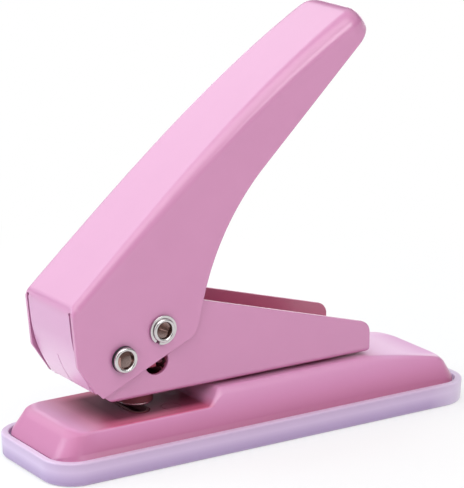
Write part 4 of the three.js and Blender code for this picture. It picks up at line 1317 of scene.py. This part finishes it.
def make_guide():
    bottom, edge, rim_height = 13.4, 0.25, 0.55
    collar_foot = BRACKET_BOTTOM - GAP
    rim_foot = FLOOR_TOP + GAP
    rim_top = rim_foot + rim_height
    lit_edge_top = bottom + 0.4
    bore, mouth, collar, rim = grown(BLADE, BLADE_GAP), (14.7, 3.9), (15.7, 8.9), (17.5, 8.2)
    levels = [
        (bore, bottom + 0.2), (mouth, bottom),
        (grown(collar, -edge), bottom), (grown(collar, -0.3 * edge), bottom + 0.07),
        (collar, bottom + edge), (collar, lit_edge_top), (collar, collar_foot),
        (COLLAR_NECK, collar_foot), (COLLAR_NECK, rim_foot),
        (grown(rim, -0.05), rim_foot), (rim, rim_top - 0.1), (grown(rim, -0.1), rim_top),
        (grown(bore, 0.15), rim_top), (bore, rim_foot + 0.4),
    ]
    # Painted shade and highlight: the collar takes the dark finish for the shade under the bracket, and
    # chrome on its lowest band for a bright lit lower edge.
    made = piece("guide_collar", obround_skin(levels), "frame", ["punch_guide"], DARK)
    reach, radius = (collar[0] - collar[1]) / 2, collar[1] / 2

    # The lowest band of the collar's side, where the chrome is a painted highlight.
    def on_lit_edge(p):
        return p.z < lit_edge_top and math.hypot(max(abs(p.x) - reach, 0), p.y - BLADE_Y) > radius - edge
    dress(made, CHROME, on_lit_edge)


def make_punch():
    front, rear, leg_rear = -34.9, -20.9, -28.6
    leg_bottom, under, top, blade_top = 22.45, 27.05, 37.05, 27.95
    pin, pin_steps = 0.9, 48
    half = BRACKET_HALF - SHEET - GAP
    outline = [(front, leg_bottom), (leg_rear, leg_bottom), (leg_rear, under), (rear, under), (rear, top),
               (front, top)]
    slot_radius = DRIVE_RADIUS + GAP
    slot_end = (DRIVE[0] + SLOT_TRAVEL, DRIVE[1])
    slot = (arc(slot_end, slot_radius, -QUARTER, QUARTER, 2 * FINE)
            + arc(DRIVE, slot_radius, QUARTER, 3 * QUARTER, 2 * FINE))
    holes = [prism(slot, along_x, -half - OVERRUN, half + OVERRUN),
             prism(obround(*grown(BLADE, GAP)), along_z, leg_bottom - OVERRUN, blade_top + GAP)]
    holes += [prism(circle((side * CROSS_PIN_X, CROSS_PIN_Z), pin + GAP, pin_steps), along_y, front - OVERRUN,
                    leg_rear + OVERRUN) for _, side in SIDES]
    seam_y = DRIVE[0] + 0.5
    seams = [("y", seam_y), ("x", 0), ("x", CROSS_PIN_X), ("x", -CROSS_PIN_X), ("z", CROSS_PIN_Z)]
    block = prism([Vector(p) for p in outline], along_x, -half, half)
    # The block's deep red is painted shade.
    piece("block_body", block, "punch", ["punch_block"], BLOCK_SHADE_RED, 0.3, holes, lines=seams)
    boss_foot, boss_top, boss_edge = 25.7, 27.3, 0.2
    boss = stepped((SPRING_BOSS, boss_foot, boss_top, boss_edge, 0))
    piece("block_boss", turned(boss, round_z(0, SPRING_Y)), "punch", ["punch_block"], DARK)

    low, peak, beyond = 13.8, 0.8, 2.0
    reach = BLADE[0] / 2
    roof = [(-reach - beyond, low - beyond), (reach + beyond, low - beyond), (reach, low), (0, low + peak),
            (-reach, low)]
    notch = prism([Vector(p) for p in roof], along_y, BLADE_Y - OVERRUN, BLADE_Y + OVERRUN)
    blade = prism(obround(*BLADE), along_z, low, blade_top)
    piece("blade_bar", blade, "punch", ["punch_blade"], STEEL, 0.05, [notch], 1)
    low, high = front + GAP, leg_rear - GAP
    profile = eased([(0, low), (pin, low), (pin, high), (0, high)], 0.2)
    for name, side in SIDES:
        def across(p, h, x=side * CROSS_PIN_X):
            return Vector((x + p.x, h, CROSS_PIN_Z + p.y))
        piece(f"blade_dowel_{name}", turned(profile, across, pin_steps), "punch", [f"blade_pin_{name}"],
              STEEL)


def make_die():
    thickness, corner, edge = 2.8, 1.5, 0.1
    half, front, rear = 11.3, -37.9, -20.5
    top = DECK_TOP - BASE_SHEET - GAP
    bottom = top - thickness
    rim_top = DECK_TOP + edge
    through = (bottom - OVERRUN, top + OVERRUN)
    corners = [(-half, front), (half, front), (half, rear), (-half, rear)]
    slot = grown(BLADE, BLADE_GAP)
    holes = [prism(obround(*slot), along_z, *through)]
    holes += [prism(circle((side * DIE_RIVET_X, DIE_RIVET_Y), DIE_RIVET_SHANK + GAP), along_z, *through)
              for _, side in SIDES]
    plate = prism(rounded([(*place, corner) for place in corners]), along_z, bottom, top)
    piece("die_body", plate, "frame", ["die_plate"], DARK, 0.15, holes, 2,
          [("x", 0), ("x", DIE_RIVET_X), ("x", -DIE_RIVET_X)])
    rim, rim_foot = grown(slot, DIE_RIM), top - 0.5
    levels = [(slot, rim_foot), (rim, rim_foot), (rim, rim_top - 0.12), (grown(rim, -edge), rim_top),
              (grown(slot, 0.06), rim_top), (slot, rim_top - 0.05)]
    # The rim takes the dark finish as painted shade, so that it sinks into the shade under the bracket.
    piece("die_rim", obround_skin(levels), "frame", ["die_plate"], DARK)
    low, tail, tail_height = bottom - GAP, 2.3, 0.7
    shank = stepped((tail, low - tail_height, low, 0.2, 0), (DIE_RIVET_SHANK, low, top + GAP, 0, 0))[:-1]
    profile = [*shank, (tail, DECK_TOP - edge), (DIE_RIVET_HEAD, DECK_TOP), (0, DECK_TOP)]
    for name, side in SIDES:
        rivet = turned(profile, round_z(side * DIE_RIVET_X, DIE_RIVET_Y))
        piece(f"die_rivet_{name}_flush", rivet, "frame", [f"die_rivet_{name}"], BASE_PAINT)


def make_spring():
    foot, head, radius, wire, turns = 18.25, 26.75, 2.45, 0.7, 4
    per_turn, sides = 32, 14
    rise = head - foot - wire
    count = per_turn * turns
    centres = []
    for i in range(count + 1):
        p = radius * polar(2 * math.pi * i / per_turn)
        centres.append(Vector((p.x, SPRING_Y + p.y, foot + wire / 2 + rise * i / count)))
    skin = Skin()
    rings = []
    for i, centre in enumerate(centres):
        ahead = (centres[min(i + 1, count)] - centres[max(i - 1, 0)]).normalized()
        out = Vector((centre.x, centre.y - SPRING_Y, 0)).normalized()
        side = ahead.cross(out).normalized()
        across = side.cross(ahead)
        rings.append([centre + (across * p.x + side * p.y) * wire / 2 for p in
                      [polar(2 * math.pi * k / sides) for k in range(sides)]])
    skin.rings(rings)
    piece("return_spring", skin, "frame", ["punch_spring"], WIRE)


def make_spring_seat():
    """A stud set in the bracket's floor, with a plate under the spring and a boss inside it."""
    plate, sheet, boss_height, set_radius, set_height = 3.0, 0.5, 1.35, 2.2, 0.6
    disc, tail = FLOOR_TOP + GAP, BRACKET_BOTTOM - GAP
    seat = disc + sheet
    profile = stepped((set_radius, tail - set_height, tail, 0.2, 0), (STUD_SHANK, tail, disc, 0, 0),
                      (plate, disc, seat, 0.1, 0.1), (SPRING_BOSS, seat, seat + boss_height, 0, 0.3))
    piece("spring_stud", turned(profile, round_z(0, SPRING_Y)), "frame", ["spring_seat"], DARK)


make_tray()
make_base()
make_bracket()
make_lever()
make_pins()
make_rivets()
make_guide()
make_punch()
make_die()
make_spring()
make_spring_seat()


# Stage


WHITE = (1, 1, 1, 1)
FLOOR_REACH = 4.0
FLOOR_GREY = (0.9, 0.9, 0.9, 1)
FLOOR_UNSEEN = (0.95, 0.95, 0.95, 1)   # what light bounces off, where neither camera nor reflection looks
SKY_TINT = (1.0, 0.985, 1.0, 1)
LENS = 187.2
SENSOR = 36
CAMERA_PLACE = (0.4965, -0.3214, 0.2095)
CAMERA_AIM = (0, -0.00193, 0.0465)

# Softboxes: place, aim, size in metres, power in watts, colour
LAMPS = {
    "key_softbox": ((0.2, -0.25, 0.7), (0, 0, 0.03), (0.95, 0.5), 3.0, (1, 1, 1)),
    "left_softbox": ((-0.47, -0.09, 0.4), (0, -0.01, 0.06), (0.55, 0.5), 1.2, (0.9, 0.96, 1)),
    "front_softbox": ((-0.33, -0.56, 0.27), (0, -0.05, 0.03), (0.35, 0.3), 1.7, (0.78, 0.97, 1)),
    "rear_softbox": ((-0.62, 0.44, 0.09), (0, 0.04, 0.02), (0.5, 0.14), 0.3, (1, 0.9, 1)),
    "right_softbox": ((0.6, 0.15, 0.42), (0, 0, 0.04), (0.3, 0.3), 1.25, (1, 1, 1)),
    "corner_softbox": ((0.3, -0.6, 0.28), (0, -0.03, 0.03), (0.25, 0.3), 0.5, (1, 1, 1)),
}


def seen(made):
    """1 for what the camera sees, and 1 for what a reflection or a clear piece shows."""
    camera, gloss, clear = (made.add("ShaderNodeLightPath", {}, {}, name) for name in
                            ("Is Camera Ray", "Is Glossy Ray", "Is Transmission Ray"))
    return camera, gloss + clear


def make_floor():
    mesh = bpy.data.meshes.new("floor")
    corners = [(x * FLOOR_REACH, y * FLOOR_REACH, 0) for x, y in ((-1, -1), (1, -1), (1, 1), (-1, 1))]
    mesh.from_pydata(corners, [], [(0, 1, 2, 3)])
    floor = link(bpy.data.objects.new("floor", mesh))
    made = Paint("white_floor", WHITE)
    camera, others = seen(made)
    made.set(Base_Color=made.mix(camera, FLOOR_UNSEEN, FLOOR_GREY), Roughness=0.9, Specular_IOR_Level=0.1)
    white = made.add("ShaderNodeEmission", {}, {"Color": WHITE, "Strength": 1.0})
    away = made.add("ShaderNodeVectorMath", {"operation": "LENGTH"}, {0: made.place()}, 1)
    share = made.between(away, 0.07, 0.2, 0.55, 1.0)
    shader = Value(made, made.shader.outputs[0])
    made.finish("Material Output", made.mix_shaders(share * (camera + others), shader, white))
    mesh.materials.append(made.material)


def make_world():
    """A white backdrop; reflections see it bright low down and overhead, and dim in between."""
    world = bpy.data.worlds.new("studio")
    bpy.context.scene.world = world
    world.use_nodes = True
    made = Nodes(world.node_tree)
    place = made.add("ShaderNodeTexCoord", {}, {}, "Generated")
    up = made.add("ShaderNodeSeparateXYZ", {}, {"Vector": place}, "Z")
    low = made.between(up, 0.03, 0.16, 1.0, 0.05)
    dome = made.between(up, 0.3, 0.55, 0.0, 0.55)
    light = made.between(up, 0.3, 0.9, 0.05, 0.7)
    sky = made.add("ShaderNodeBackground", {}, {"Color": SKY_TINT, "Strength": light})
    shown = made.add("ShaderNodeBackground", {}, {"Color": WHITE, "Strength": low + dome})
    white = made.add("ShaderNodeBackground", {}, {"Color": WHITE, "Strength": 1.0})
    camera, others = seen(made)
    made.finish("World Output", made.mix_shaders(camera, made.mix_shaders(others, sky, shown), white))


def make_lamps():
    for name, (place, aim, size, power, colour) in LAMPS.items():
        data = bpy.data.lights.new(name, "AREA")
        data.shape = "RECTANGLE"
        data.size, data.size_y = size
        data.energy = power
        data.color = colour
        lamp = link(bpy.data.objects.new(name, data))
        lamp.location = place
        lamp.rotation_euler = (Vector(aim) - Vector(place)).to_track_quat("-Z", "Y").to_euler()


def make_camera():
    data = bpy.data.cameras.new("camera")
    data.lens = LENS
    data.sensor_width = SENSOR
    data.clip_start = 0.05
    camera = link(bpy.data.objects.new("camera", data))
    camera.location = CAMERA_PLACE
    camera.rotation_mode = "QUATERNION"
    camera.rotation_quaternion = (Vector(CAMERA_AIM) - camera.location).to_track_quat("-Z", "Y")
    bpy.context.scene.camera = camera


make_floor()
make_world()
make_lamps()
make_camera()
bpy.context.scene.view_settings.view_transform = "Standard"
